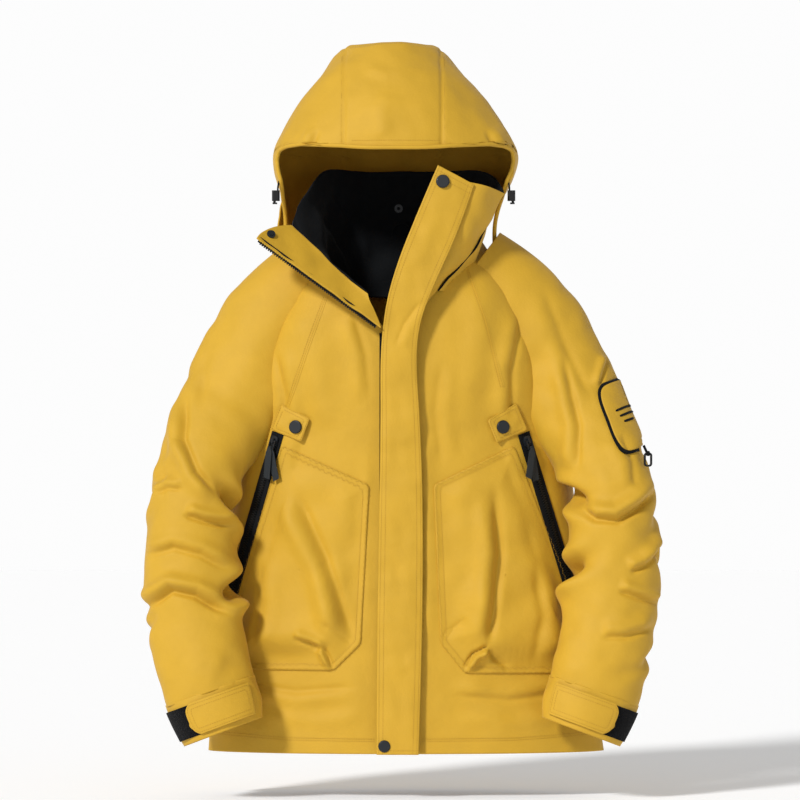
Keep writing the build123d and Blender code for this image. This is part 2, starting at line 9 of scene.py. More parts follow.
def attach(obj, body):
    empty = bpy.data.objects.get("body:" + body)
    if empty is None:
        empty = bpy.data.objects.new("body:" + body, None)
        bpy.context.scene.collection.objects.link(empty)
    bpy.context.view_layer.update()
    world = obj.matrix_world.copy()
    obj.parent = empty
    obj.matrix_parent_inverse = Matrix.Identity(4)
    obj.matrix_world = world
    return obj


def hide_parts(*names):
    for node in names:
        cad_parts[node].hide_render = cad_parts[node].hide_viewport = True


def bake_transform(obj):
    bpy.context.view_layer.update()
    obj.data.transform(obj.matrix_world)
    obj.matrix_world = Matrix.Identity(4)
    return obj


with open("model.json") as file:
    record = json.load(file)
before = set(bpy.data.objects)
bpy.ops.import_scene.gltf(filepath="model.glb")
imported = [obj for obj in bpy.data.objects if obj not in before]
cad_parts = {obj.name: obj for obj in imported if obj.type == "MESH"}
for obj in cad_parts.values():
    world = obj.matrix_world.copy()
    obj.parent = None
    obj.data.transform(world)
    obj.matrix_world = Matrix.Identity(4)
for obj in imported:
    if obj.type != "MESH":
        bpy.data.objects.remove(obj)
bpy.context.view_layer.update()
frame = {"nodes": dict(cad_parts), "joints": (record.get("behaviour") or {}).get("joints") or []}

NODES = frame["nodes"]
HEM_Z = -0.751
FLOOR_Z = -0.815
SLEEVE_END = 0.700                      # length along the arm where the cuff starts
SHELL = 0.0022                          # thickness of the shell cloth
SIDES = {"right": -1, "left": 1}        # the wearer's sides, and the sign of X there


# ---------------------------------------------------------------- small maths
def smooth(x, low, high):
    t = np.clip((np.asarray(x, float) - low) / (high - low), 0, 1)
    return t * t * (3 - 2 * t)


def unit(v):
    v = np.asarray(v, float)
    return v / np.linalg.norm(v, axis=-1, keepdims=True)


def through(knots, values, at):
    """A smooth curve through values at rising knots, read at the points asked for."""
    knots, values, at = np.asarray(knots, float), np.asarray(values, float), np.asarray(at, float)
    flat = values.reshape(len(knots), -1)
    h = np.diff(knots)
    rise = np.diff(flat, axis=0) / h[:, None]
    n = len(knots)
    m = np.zeros((n, n))
    r = np.zeros_like(flat)
    m[0, 0] = m[-1, -1] = 1
    for i in range(1, n - 1):
        m[i, i - 1], m[i, i], m[i, i + 1] = h[i - 1], 2 * (h[i - 1] + h[i]), h[i]
        r[i] = 6 * (rise[i] - rise[i - 1])
    bend = np.linalg.solve(m, r)
    k = np.clip(np.searchsorted(knots, at.ravel()) - 1, 0, n - 2)
    a = ((knots[k + 1] - at.ravel()) / h[k])[:, None]
    b = 1 - a
    line = a * flat[k] + b * flat[k + 1]
    sag = ((a ** 3 - a) * bend[k] + (b ** 3 - b) * bend[k + 1]) * (h[k] ** 2)[:, None] / 6
    return (line + sag).reshape(at.shape + values.shape[1:])


def through_grid(rows, nu, nv):
    """A dense grid of points through a coarse one in mm, nu along a row and nv down the rows."""
    rows = np.asarray(rows, float) / 1000
    down = through(np.linspace(0, 1, len(rows)), rows, np.linspace(0, 1, nv))
    return np.stack([through(np.linspace(0, 1, rows.shape[1]), row, np.linspace(0, 1, nu)) for row in down])


def spread(down, across):
    """Two grids, one of each row's value and one of each column's."""
    return np.meshgrid(down, across, indexing="ij")


def round_turn(count):
    return np.linspace(0, 2 * math.pi, count, endpoint=False)


def undulation(p, seed, size, stretch=(1, 1, 1), count=14):
    """Soft random waves about as long as size, from -1 to 1 or so."""
    r = np.random.default_rng(seed)
    p = np.asarray(p, float) * np.asarray(stretch)
    total = np.zeros(p.shape[:-1])
    for _ in range(count):
        k = unit(r.normal(size=3)) * 2 * math.pi / size * r.uniform(0.6, 1.5)
        total += np.sin(p @ k + r.uniform(0, 2 * math.pi))
    return total / math.sqrt(count) * 1.1


def to_segment(x, z, a, b):
    """Signed distance across and share along a segment, in the front view."""
    ax, az = a
    dx, dz = b[0] - ax, b[1] - az
    length2 = dx * dx + dz * dz
    t = ((x - ax) * dx + (z - az) * dz) / length2
    tc = np.clip(t, 0, 1)
    px, pz = ax + tc * dx, az + tc * dz
    dist = np.hypot(x - px, z - pz)
    side = np.sign((x - ax) * dz - (z - az) * dx)
    return dist * side, tc


def folds(x, z, table):
    """Height of a table of folds at (x, z). Each is points, height and width in mm, and how it lies."""
    total = np.zeros_like(x)
    for points, height, width, kind in table:
        points = np.array(points) / 1000
        height, width = height / 1000, width / 1000
        best = np.full_like(x, 9.0)
        share = np.zeros_like(x)
        signed = np.zeros_like(x)
        n = len(points) - 1
        for i, (a, b) in enumerate(zip(points, points[1:])):
            d, t = to_segment(x, z, a, b)
            near = np.abs(d) < best
            best = np.where(near, np.abs(d), best)
            signed = np.where(near, d, signed)
            share = np.where(near, (i + t) / n, share)
        taper = smooth(share, -0.02, 0.22) * smooth(share, 1.02, 0.78)
        if kind == "ridge":
            profile = np.exp(-(signed / width) ** 2)
        elif kind == "crease":
            profile = -np.exp(-np.abs(signed) / width)
        else:
            # a fold lying to one side: a steep valley under a soft ridge
            s = signed / width * (1 if kind == "fold+" else -1)
            profile = np.exp(-((s - 0.7) / 0.8) ** 2) - 0.75 * np.exp(-((s + 0.35) / 0.38) ** 2)
        total += height * taper * profile
    return total


# ---------------------------------------------------------------- materials
def put(node, **values):
    """Sets a node's inputs, with _ in a name for each space."""
    for name, value in values.items():
        node.inputs[name.replace("_", " ")].default_value = value


def material(name, color, rough=0.7, sheen=0.0, metal=0.0, weave=0.0, weave_size=0.0009, pucker=0.0,
             pucker_size=0.012,
             vary=0.06, coat=0.0, specular=0.35):
    mat = bpy.data.materials.new(name)
    mat.use_nodes = True
    tree = mat.node_tree
    nodes, links = tree.nodes, tree.links
    shader = nodes["Principled BSDF"]
    put(shader, Roughness=rough, Metallic=metal, Sheen_Weight=sheen, Sheen_Roughness=0.45,
        Coat_Weight=coat, Specular_IOR_Level=specular)
    place = nodes.new("ShaderNodeTexCoord")
    cloud = nodes.new("ShaderNodeTexNoise")
    put(cloud, Scale=22.0, Detail=5.0)
    links.new(place.outputs["Object"], cloud.inputs["Vector"])
    ramp = nodes.new("ShaderNodeMapRange")
    put(ramp, From_Min=0.3, From_Max=0.7, To_Min=1 - vary, To_Max=1 + vary)
    links.new(cloud.outputs["Fac"], ramp.inputs["Value"])
    shade = nodes.new("ShaderNodeVectorMath")
    shade.operation = "SCALE"
    shade.inputs[0].default_value = color
    links.new(ramp.outputs["Result"], shade.inputs["Scale"])
    links.new(shade.outputs["Vector"], shader.inputs["Base Color"])
    height = None
    if weave:
        threads = []
        for axis in ("X", "Z"):
            wave = nodes.new("ShaderNodeTexWave")
            wave.bands_direction = axis
            put(wave, Scale=0.314 / weave_size, Distortion=0.4)
            links.new(place.outputs["Object"], wave.inputs["Vector"])
            threads.append(wave)
        both = nodes.new("ShaderNodeMath")
        both.operation = "MULTIPLY"
        links.new(threads[0].outputs["Fac"], both.inputs[0])
        links.new(threads[1].outputs["Fac"], both.inputs[1])
        bump = nodes.new("ShaderNodeBump")
        put(bump, Strength=weave, Distance=0.0004)
        links.new(both.outputs["Value"], bump.inputs["Height"])
        height = bump
    if pucker:
        crumple = nodes.new("ShaderNodeTexNoise")
        put(crumple, Scale=1.0 / pucker_size, Detail=3.0, Roughness=0.55)
        links.new(place.outputs["Object"], crumple.inputs["Vector"])
        bump = nodes.new("ShaderNodeBump")
        put(bump, Strength=pucker, Distance=0.003)
        links.new(crumple.outputs["Fac"], bump.inputs["Height"])
        if height:
            links.new(height.outputs["Normal"], bump.inputs["Normal"])
        height = bump
    if height:
        links.new(height.outputs["Normal"], shader.inputs["Normal"])
    return mat


YELLOW = material("shell_yellow", (0.520, 0.300, 0.017), rough=0.66, sheen=0.05, weave=0.22, pucker=0.20,
                  vary=0.04)
# painted shade: the same yellow cloth made darker for its inner faces, standing in for the shade inside the
# hood, sleeves and torso
YELLOW_INSIDE_PAINTED_SHADE = material("shell_inside_painted_shade", (0.36, 0.19, 0.012), rough=0.85, weave=0.2, pucker=0.2, specular=0.2)
THREAD = material("thread_yellow", (0.42, 0.225, 0.014), rough=0.6)
LINING = material("lining_black", (0.0035, 0.0042, 0.0050), rough=0.9, sheen=0.03, weave=0.6,
                  weave_size=0.0016, pucker=0.2,
                  specular=0.15)
TAPE = material("tape_black", (0.0055, 0.0060, 0.0065), rough=0.85, weave=0.6, weave_size=0.0011,
                specular=0.15)
RIBBON = material("ribbon_grey", (0.020, 0.024, 0.027), rough=0.7, sheen=0.05, weave=0.6,
                  weave_size=0.0012, specular=0.2)
TEETH = material("teeth_black", (0.0060, 0.0070, 0.0072), rough=0.40, vary=0.1, specular=0.3)
METAL = material("enamel_dark", (0.0080, 0.0105, 0.0135), rough=0.42, coat=0.1, vary=0.1, specular=0.3)
LOOP = material("loop_pile", (0.0030, 0.0030, 0.0035), rough=1.0, sheen=0.05, pucker=0.9,
                pucker_size=0.0015, specular=0.1)
CORD = material("cord_black", (0.0050, 0.0050, 0.0055), rough=0.8, weave=0.9, weave_size=0.0014,
                specular=0.2)
PLASTIC = material("moulded_black", (0.0050, 0.0055, 0.0060), rough=0.45, vary=0.08, specular=0.3)


# ---------------------------------------------------------------- mesh building
def add_object(name, data):
    obj = bpy.data.objects.new(name, data)
    bpy.context.scene.collection.objects.link(obj)
    return obj


def make(name, verts, faces, mats, body=None, stands_for=(), slot=None, smooth_shade=True):
    mesh = bpy.data.meshes.new(name)
    mesh.from_pydata([tuple(v) for v in verts], [], faces)
    for mat in mats:
        mesh.materials.append(mat)
    mesh.polygons.foreach_set("use_smooth", [smooth_shade] * len(mesh.polygons))
    mesh.update()
    obj = add_object(name, mesh)
    if body:
        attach(obj, body)
    if stands_for:
        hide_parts(*stands_for)
    return obj


def grid_faces(rows, cols, wrap=False, start=0):
    faces = []
    for r in range(rows - 1):
        for c in range(cols if wrap else cols - 1):
            a = start + r * cols + c
            b = start + r * cols + (c + 1) % cols
            faces.append((a, b, b + cols, a + cols))
    return faces


def make_grid(name, points, mats, out, wrap=False, **more):
    """A mesh over a grid of points. out is the outward direction: one vector, or one at each point."""
    rows, cols = points.shape[:2]
    faces = grid_faces(rows, cols, wrap)
    cross = np.cross(points[:-1, 1:] - points[:-1, :-1], points[1:, :-1] - points[:-1, :-1])
    out = np.broadcast_to(out, points.shape)[:-1, :-1]
    if np.sum(cross * out) < 0:
        faces = [f[::-1] for f in faces]
    return make(name, points.reshape(-1, 3), faces, mats, **more)


def thicken(obj, thickness, offset=-1.0, inside=0, rim=0):
    """Real cloth thickness. With offset -1 it grows behind the face, away from its normal."""
    mod = obj.modifiers.new("cloth", "SOLIDIFY")
    mod.thickness = thickness
    mod.offset = offset
    mod.use_even_offset = False
    mod.material_offset = inside
    mod.material_offset_rim = rim
    return mod


def normals_of(points, wrap=False):
    """Unit normals of a grid, from its differences."""
    du = np.gradient(points, axis=1)
    if wrap:
        du = (np.roll(points, -1, axis=1) - np.roll(points, 1, axis=1)) / 2
    dv = np.gradient(points, axis=0)
    return unit(np.cross(du, dv) + 1e-12)


def facing_way(normals, way):
    """The normals, each turned over where it points against the way."""
    return normals * np.sign(np.sum(normals * way, axis=-1))[..., None]


def tree_of(obj):
    verts = [v.co.copy() for v in obj.data.vertices]
    return BVHTree.FromPolygons(verts, [list(p.vertices) for p in obj.data.polygons])


def cast(tree, x, z, y_from=-0.6, toward=1):
    hit, normal, _, _ = tree.ray_cast(Vector((x, y_from, z)), Vector((0, toward, 0)))
    if hit is None:
        return None
    if normal.y * toward > 0:
        normal = -normal
    return np.array(hit), np.array(normal)


def resample(points, step):
    points = np.asarray(points, float)
    lengths = np.r_[0, np.cumsum(np.linalg.norm(np.diff(points, axis=0), axis=1))]
    n = max(2, int(round(lengths[-1] / step)) + 1)
    at = np.linspace(0, lengths[-1], n)
    return np.stack([np.interp(at, lengths, points[:, i]) for i in range(points.shape[1])], axis=1)


def filled_outline(corners, step, passes, rings):
    """A closed outline with softened corners, and rings of it from the middle out: share, x and z."""
    ring = resample(corners + corners[:1], step)[:-1]
    for _ in range(passes):
        ring = 0.5 * ring + 0.25 * (np.roll(ring, 1, axis=0) + np.roll(ring, -1, axis=0))
    middle = ring.mean(axis=0)
    share = np.linspace(0, 1, rings)
    grid = middle + (ring[None] - middle) * share[:, None, None]
    return ring, share, grid[..., 0], grid[..., 1]


def drape_line(tree, xz, step=0.004, y_from=-0.6, toward=1):
    """Points and normals on a surface under a line drawn in the front or back view."""
    spots = []
    for x, z in resample(xz, step):
        got = cast(tree, x, z, y_from, toward)
        if got:
            spots.append(got)
    return np.array([s[0] for s in spots]), np.array([s[1] for s in spots])


def across_line(points, normals):
    """Unit directions in the surface, square to the line through the points."""
    return unit(np.cross(unit(np.gradient(points, axis=0)), normals))


def strip(points, normals, half, thick, lift, name, mats, **more):
    """A flat band that follows points, standing on the surface."""
    across = across_line(points, normals)
    base = points + normals * lift
    rows = np.stack([base - across * half, base - across * half + normals * thick,
                     base + across * half + normals * thick, base + across * half], axis=1)
    faces = grid_faces(len(rows), 4, wrap=True)
    last = (len(rows) - 1) * 4
    faces += [(3, 2, 1, 0), (last, last + 1, last + 2, last + 3)]
    return make(name, rows.reshape(-1, 3), faces, mats, smooth_shade=False, **more)


class Stitches:
    """Collects thread stitches, each a small rounded bar lying on a surface."""

    def __init__(self):
        self.verts, self.faces = [], []

    def add(self, points, normals, pitch=0.0034, bar=0.0022, radius=0.00032, lift=0.00025):
        lengths = np.r_[0, np.cumsum(np.linalg.norm(np.diff(points, axis=0), axis=1))]
        for s in np.arange(pitch / 2, lengths[-1] - bar, pitch):
            a = np.array([np.interp(s, lengths, points[:, i]) for i in range(3)])
            b = np.array([np.interp(s + bar, lengths, points[:, i]) for i in range(3)])
            n = unit(np.array([np.interp(s, lengths, normals[:, i]) for i in range(3)]))
            d = unit(b - a)
            w = np.cross(d, n)
            base = len(self.verts)
            for end, shrink in ((a, 0.5), (a + d * bar * 0.25, 1.0), (b - d * bar * 0.25, 1.0), (b, 0.5)):
                c = end + n * lift
                self.verts += [c - w * radius * shrink, c + n * radius * 1.2 * shrink, c + w * radius
                        * shrink]
            for k in range(3):
                o = base + 3 * k
                self.faces += [(o, o + 1, o + 4, o + 3), (o + 1, o + 2, o + 5, o + 4)]

    def build(self, name, body, mat=None):
        return make(name, self.verts, self.faces, [mat or THREAD], body=body)


# ---------------------------------------------------------------- torso
TORSO = np.array([
    (-0.751, 0.2810, 0.0860, -0.185, 0.0060), (-0.726, 0.2785, 0.0872, -0.185, 0.0057),
    (-0.600, 0.2660, 0.0930, -0.185, 0.0040), (-0.450, 0.2520, 0.1000, -0.185, 0.0020),
    (-0.320, 0.2340, 0.1040, -0.185, 0.0000), (-0.220, 0.2140, 0.1020, -0.185, 0.0000),
    (-0.130, 0.1760, 0.0940, -0.178, 0.0000), (-0.060, 0.1350, 0.0820, -0.155, 0.0000),
    (-0.020, 0.1080, 0.0660, -0.125, 0.0000)])
ZIP_X = -0.021

# folds of the torso's front in the front view: points, height, width, kind
TORSO_FOLDS = [
    # deep creases where each sleeve lies against the body
    ([(-176, -52), (-200, -150), (-214, -250), (-236, -335), (-250, -380)], 16, 10, "crease"),
    ([(158, -36), (182, -120), (205, -210), (226, -285), (246, -375)], 16, 10, "crease"),
    # soft drag lines from the shoulders towards the chest
    ([(-150, -120), (-120, -210), (-100, -300)], 5, 22, "ridge"),
    ([(-75, -130), (-55, -190), (-48, -260)], 3.5, 14, "fold+"),
    ([(-176, -180), (-160, -250), (-165, -300)], 4.5, 14, "fold-"),
    ([(120, -80), (105, -180), (80, -300)], 4.5, 22, "ridge"),
    ([(168, -130), (150, -210), (150, -290)], 4.5, 14, "fold+"),
    ([(60, -200), (52, -270), (62, -350)], 3, 14, "fold-"),
    # the lower front, below the pockets
    ([(-240, -655), (-150, -668), (-60, -660)], 3.5, 12, "fold+"),
    ([(60, -664), (150, -672), (250, -660)], 3.5, 12, "fold-"),
    ([(-200, -700), (-120, -706), (-50, -698)], 2.2, 10, "ridge"),
    ([(70, -700), (160, -708), (230, -700)], 2.2, 10, "ridge"),
    ([(-44, -300), (-46, -420), (-48, -600)], 3, 10, "ridge"),
    ([(34, -300), (36, -420), (40, -640)], 2.8, 10, "ridge"),
]
# folds of the back, seen from the front's side of X
BACK_FOLDS = [
    ([(-150, -140), (-80, -190), (0, -205), (80, -190), (150, -140)], 6, 18, "fold+"),
    ([(-200, -300), (-120, -340), (-40, -350)], 6, 16, "fold-"),
    ([(200, -320), (120, -370), (30, -390)], 6, 16, "fold-"),
    ([(-120, -420), (-100, -560), (-110, -700)], 7, 26, "ridge"),
    ([(90, -420), (75, -560), (85, -700)], 7, 26, "ridge"),
    ([(-10, -450), (-16, -580), (-12, -720)], 6, 20, "ridge"),
    ([(-220, -480), (-150, -520), (-80, -515)], 5, 14, "fold+"),
    ([(220, -500), (150, -545), (80, -540)], 5, 14, "fold+"),
]

PULL_TO_TOP, PULL_TO_FACE, POCKET_ZIP_LENGTH = 0.012, 0.0064, 0.246


def pocket_zip(side):
    """Where a pocket's zip lies: its slider slides along it, and its pull's pin lies across it."""
    joints = {joint["name"]: joint for joint in frame["joints"]}
    lift = joints[side + "_pocket_pull_lift"]
    along = -unit(joints[side + "_pocket_slider_slide"]["axis"])
    across = -unit(lift["axis"])
    out = unit(np.cross(across, along))
    out = -out if out[1] > 0 else out
    pin = np.array(lift["pos_m"])
    top = pin + along * PULL_TO_TOP - out * PULL_TO_FACE
    return dict(pin=pin, along=along, across=across, out=out, top=top, bottom=top - along
                * POCKET_ZIP_LENGTH)


POCKET_ZIPS = {side: pocket_zip(side) for side in SIDES}


def torso_ring(z):
    values = through(TORSO[:, 0], TORSO[:, 1:], z)
    return values[..., 0], values[..., 1], values[..., 2], values[..., 3]


def torso_surface(theta, z):
    """Points of the smooth torso: theta 0 is the front, growing towards the wearer's left."""
    a, b, front, cx = torso_ring(z)
    power = 2.0 + 0.9 * smooth(z, -0.30, -0.16) * smooth(z, -0.02, -0.09)
    s, c = np.sin(theta), np.cos(theta)
    x = cx + a * np.sign(s) * np.abs(s) ** (2 / power)
    y = front + b - b * np.sign(c) * np.abs(c) ** (2 / power)
    return np.stack([x, y, z], axis=-1)


def build_torso():
    cols, rows = 520, 300
    s = np.linspace(0, 1, cols)
    v = np.linspace(0, 1, rows)[:, None]

    def angles(z):
        a, _, _, cx = torso_ring(z)
        power = 2.0 + 0.9 * smooth(z, -0.30, -0.16) * smooth(z, -0.02, -0.09)
        edges = []
        for x in (ZIP_X - 0.0058, ZIP_X + 0.0075):
            share = (x - cx) / a
            edges.append(np.sign(share) * np.arcsin(np.abs(share) ** (power / 2)))
        return edges[0] - s[None, :] * (2 * math.pi - (edges[1] - edges[0]))

    # where each column ends at the neck: low at the front, where the collar opens
    top = np.full((1, cols), -0.10)
    for _ in range(40):
        theta = angles(top)
        x = torso_surface(theta, top)[..., 0]
        at_front = smooth(np.cos(theta), 0.10, 0.35)
        line = np.interp(x, [-0.185, -0.122, -0.068, -0.036, ZIP_X, -0.010, 0.030, 0.060, 0.090],
                         [-0.020, -0.056, -0.106, -0.140, -0.156, -0.146, -0.104, -0.060, -0.020])
        top = 0.5 * top + 0.5 * (line * at_front - 0.020 * (1 - at_front))
    z = HEM_Z + (top - HEM_Z) * v
    theta = angles(z)
    p = torso_surface(theta, z)
    n = normals_of(p)
    if n[rows // 2, cols // 2, 1] < 0:
        n = -n
    x, zz = p[..., 0], p[..., 2]
    front_side = smooth(np.cos(theta), -0.05, 0.25)
    calm = np.ones_like(x)
    for zip_ in POCKET_ZIPS.values():
        d, _ = to_segment(x, zz, zip_["top"][[0, 2]], zip_["bottom"][[0, 2]])
        calm = np.minimum(calm, np.where(front_side > 0.3, smooth(np.abs(d), 0.012, 0.045), 1))
    calm = np.minimum(calm, smooth(zz, HEM_Z, -0.715) * 0.75 + 0.25)
    height = folds(x, zz, TORSO_FOLDS) * front_side
    height += folds(x, zz, BACK_FOLDS) * (1 - front_side)
    height += 0.0013 * undulation(p, 3, 0.12, (1, 0.6, 0.55))
    height += 0.0005 * undulation(p, 4, 0.045, (1, 0.6, 0.7))
    near_zip = smooth(np.abs(x - ZIP_X), 0.012, 0.045)
    height *= np.where(front_side > 0.3, near_zip, 1)
    p = p + n * (height * calm)[..., None]
    # the front lies flush under each straight pocket zip
    for zip_ in POCKET_ZIPS.values():
        d, _ = to_segment(x, zz, zip_["top"][[0, 2]], zip_["bottom"][[0, 2]])
        o, out = zip_["top"] - zip_["out"] * 0.0016, zip_["out"]
        flush = o[1] - ((x - o[0]) * out[0] + (zz - o[2]) * out[2]) / out[1]
        share = smooth(np.abs(d), 0.040, 0.012) * (front_side > 0.3)
        p[..., 1] = p[..., 1] * (1 - share) + flush * share
    obj = make_grid("torso_shell", p, [YELLOW, YELLOW_INSIDE_PAINTED_SHADE], n, body="jacket",
                    stands_for=("back_panel", "right_front_panel", "left_front_panel",
                                "hem_band"), slot="shell_fabric")
    thicken(obj, SHELL, inside=1)
    return obj


torso = build_torso()
torso_tree = tree_of(torso)


# ---------------------------------------------------------------- sleeves
ARM = [
    (0.000, (-0.100, -0.072, -0.068), (-0.80, 0.00, -0.60), 0.066, 0.066),
    (0.105, (-0.165, -0.076, -0.135), (-0.66, -0.05, -0.75), 0.080, 0.068),
    (0.235, (-0.227, -0.092, -0.245), (-0.42, -0.16, -0.90), 0.081, 0.066),
    (0.385, (-0.288, -0.152, -0.362), (-0.25, -0.24, -0.94), 0.060, 0.057),
    (0.505, (-0.297, -0.170, -0.480), (-0.03, -0.12, -0.99), 0.066, 0.054),
    (0.620, (-0.285, -0.190, -0.590), (0.20, -0.10, -0.97), 0.065, 0.049),
    (0.700, (-0.268, -0.198, -0.663), (0.33, -0.05, -0.94), 0.065, 0.046),
    (0.760, (-0.249, -0.202, -0.718), (0.35, -0.05, -0.935), 0.058, 0.043),
]
ARM_T = np.array([k[0] for k in ARM])
ARM_V = np.array([list(k[1]) + list(unit(k[2])) + [k[3], k[4]] for k in ARM])


def arm_frame(t):
    values = through(ARM_T, ARM_V, t)
    centre, along = values[..., 0:3], unit(values[..., 3:6])
    lateral = unit(np.cross(along, np.broadcast_to([0.0, 1.0, 0.0], along.shape)))
    forward = unit(np.cross(along, lateral))
    return centre, along, lateral, forward, values[..., 6], values[..., 7]


def arm_surface(t, phi, grow=0.0):
    """Points round the wearer's right arm. phi 0 faces the body, a quarter turn is the front."""
    centre, _, lateral, forward, w, d = arm_frame(t)
    return (centre + lateral * ((w + grow) * np.cos(phi))[..., None] + forward
            * ((d + grow) * np.sin(phi))[..., None])


# folds round an arm: where along it, at which turn in degrees, how steeply they climb, depth, width,
# and reach in degrees
ARM_FOLDS = {
    "right": [
        (0.425, 10, -0.030, -0.034, 0.015, 36), (0.548, 8, 0.020, -0.034, 0.016, 36),
        (0.440, 200, 0.040, -0.010, 0.013, 60), (0.530, 230, -0.040, -0.010, 0.013, 60),
        (0.300, 230, 0.050, -0.009, 0.016, 60), (0.610, 210, 0.030, -0.008, 0.010, 60),
    ],
    "left": [
        (0.402, 12, 0.030, -0.028, 0.015, 36), (0.522, 10, -0.020, -0.032, 0.016, 38),
        (0.430, 210, -0.040, -0.010, 0.013, 60), (0.540, 220, 0.040, -0.010, 0.013, 60),
        (0.310, 240, -0.050, -0.009, 0.016, 60), (0.620, 200, -0.030, -0.008, 0.010, 60),
    ],
}
# folds on the front of each sleeve, in the front view, as for the torso
SLEEVE_FOLDS = {
    "right": [
        ([(-308, -235), (-311, -310), (-290, -356), (-260, -390)], 8.5, 13, "fold+"),
        ([(-306, -410), (-275, -420), (-240, -428)], 9, 10, "fold-"),
        ([(-364, -470), (-320, -456), (-280, -466), (-236, -492)], 6, 12, "fold-"),
        ([(-370, -548), (-322, -515), (-287, -522), (-226, -556)], 12, 13, "fold-"),
        ([(-350, -384), (-330, -374), (-306, -376)], 4.5, 8, "fold-"),
        ([(-262, -120), (-288, -200), (-292, -270)], 3, 20, "fold+"),
        ([(-330, -300), (-344, -345), (-340, -400)], 3.5, 14, "fold+"),
        ([(-250, -600), (-262, -640), (-262, -675)], 2.5, 12, "ridge"),
    ],
    "left": [
        ([(222, -190), (244, -290), (240, -355)], 6.5, 13, "fold+"),
        ([(290, -190), (276, -236)], 4.5, 7, "fold+"),
        ([(246, -400), (272, -416), (300, -418), (330, -400), (362, -372)], 12, 13, "fold-"),
        ([(316, -492), (340, -482), (372, -452)], 7, 10, "fold-"),
        ([(300, -516), (330, -526), (366, -538)], 7, 10, "fold-"),
        ([(276, -580), (310, -580), (356, -566)], 6, 12, "fold-"),
        ([(190, -90), (226, -180), (262, -260)], 3, 18, "fold+"),
        ([(300, -300), (318, -340), (322, -380)], 4, 14, "fold+"),
    ],
}


def turn_from(phi, centre_deg):
    return (np.degrees(phi) - centre_deg + 180) % 360 - 180


def build_sleeve(side):
    cols, rows = 200, 420
    t, phi = spread(np.linspace(0.0, SLEEVE_END, rows), round_turn(cols))
    p = arm_surface(t, phi)
    centre = arm_frame(t)[0]
    n = facing_way(normals_of(p, wrap=True), p - centre)
    height = np.zeros_like(t)
    for at, turn, climb, depth, width, reach in ARM_FOLDS[side]:
        away = turn_from(phi, turn)
        line = at + climb * away / 60
        share = np.exp(-(away / reach) ** 2)
        s = (t - line) / width
        shoulders = 0.42 * np.exp(-((s - 1.7) / 1.1) ** 2) + 0.30 * np.exp(-((s + 1.7) / 1.2) ** 2)
        height += depth * share * (np.exp(-s * s) - shoulders)
    seed = 11 if side == "right" else 12
    world_x = p[..., 0] * (1 if side == "right" else -1)
    height += folds(world_x, p[..., 2], SLEEVE_FOLDS[side]) * smooth(-n[..., 1], -0.05, 0.35)
    height += 0.0015 * undulation(p, seed, 0.11) + 0.0006 * undulation(p, seed + 2, 0.045)
    height *= smooth(t, 0.03, 0.16) * (0.25 + 0.75 * smooth(t, SLEEVE_END, SLEEVE_END - 0.028))
    p = p + n * height[..., None]
    if side == "left":
        p = p * np.array([-1.0, 1.0, 1.0])
    away = p - (centre * np.array([-1.0, 1.0, 1.0]) if side == "left" else centre)
    obj = make_grid(side + "_sleeve_shell", p, [YELLOW, YELLOW_INSIDE_PAINTED_SHADE], away, wrap=True)
    thicken(obj, 0.0020, inside=1)
    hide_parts(side + "_sleeve")
    if side == "right":
        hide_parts("shoulder_yokes")
    return obj


sleeves = {side: build_sleeve(side) for side in SIDES}
sleeve_trees = {side: tree_of(obj) for side, obj in sleeves.items()}
for side, sign in SIDES.items():
    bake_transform(sleeves[side])


# ---------------------------------------------------------------- cuffs
def mirrored(points, side):
    return points * np.array([-1.0, 1.0, 1.0]) if side == "left" else points


def build_cuffs():
    for side in SIDES:
        rows, cols = 30, 140
        t, phi = spread(np.linspace(0.697, 0.760, rows), round_turn(cols))
        p = arm_surface(t, phi, 0.0008)
        puff = 0.0016 * np.sin(math.pi * np.clip((t - 0.697) / 0.063, 0, 1))
        centre = arm_frame(t)[0]
        p = p + unit(p - centre) * (puff + 0.0012 * undulation(p, 21, 0.05))[..., None]
        p, centre = mirrored(p, side), mirrored(centre, side)
        cuff = make_grid(side + "_cuff_band", p, [YELLOW, YELLOW_INSIDE_PAINTED_SHADE], p - centre, wrap=True,
                         body=side + "_sleeve", stands_for=(side + "_cuff",), slot="shell_fabric")
        thicken(cuff, 0.0026, inside=1)
        # hook-and-loop patch on the outer half of the cuff's front
        rows, cols = 22, 50
        t, phi = spread(np.linspace(0.7070, 0.7520, rows), np.radians(np.linspace(108, 176, cols)))
        p = mirrored(arm_surface(t, phi, 0.0040), side)
        loop = make_grid(side + "_loop_patch", p, [LOOP], (0, -1, 0), body=side + "_sleeve",
                         stands_for=(side + "_cuff_loop_tape",), slot="hook_and_loop")
        thicken(loop, 0.0012)
        # the strap, rounded at its free end
        rows, cols = 44, 90
        across, along = spread(np.linspace(-1, 1, rows), np.linspace(0, 1, cols))
        free = 124 - 9 * np.abs(across) ** 4
        phi = np.radians(38 + (free - 38) * along)
        t = 0.7285 + 0.0235 * across
        belly = 0.0012 * (1 - across ** 2)
        p = arm_surface(t, phi)
        p = mirrored(p + unit(p - arm_frame(t)[0]) * (0.0060 + belly)[..., None], side)
        strap = make_grid(side + "_strap", p, [YELLOW], (0, -1, 0), body=side + "_cuff_strap",
                          stands_for=(side + "_cuff_strap",), slot="shell_fabric")
        thicken(strap, SHELL)
        n = facing_way(normals_of(p), (0, -1, 0))
        sew = Stitches()
        for inset in (3, 8):
            r0, r1, c0, c1 = inset, rows - 1 - inset, inset, cols - 1 - inset
            ring = [(r0, c) for c in range(c0, c1)] + [(r, c1) for r in range(r0, r1)]
            ring += [(r1, c) for c in range(c1, c0, -1)] + [(r, c0) for r in range(r1, r0 - 1, -1)]
            sew.add(np.array([p[r, c] for r, c in ring]), np.array([n[r, c] for r, c in ring]))
        sew.build(side + "_strap_stitches", side + "_cuff_strap")


build_cuffs()


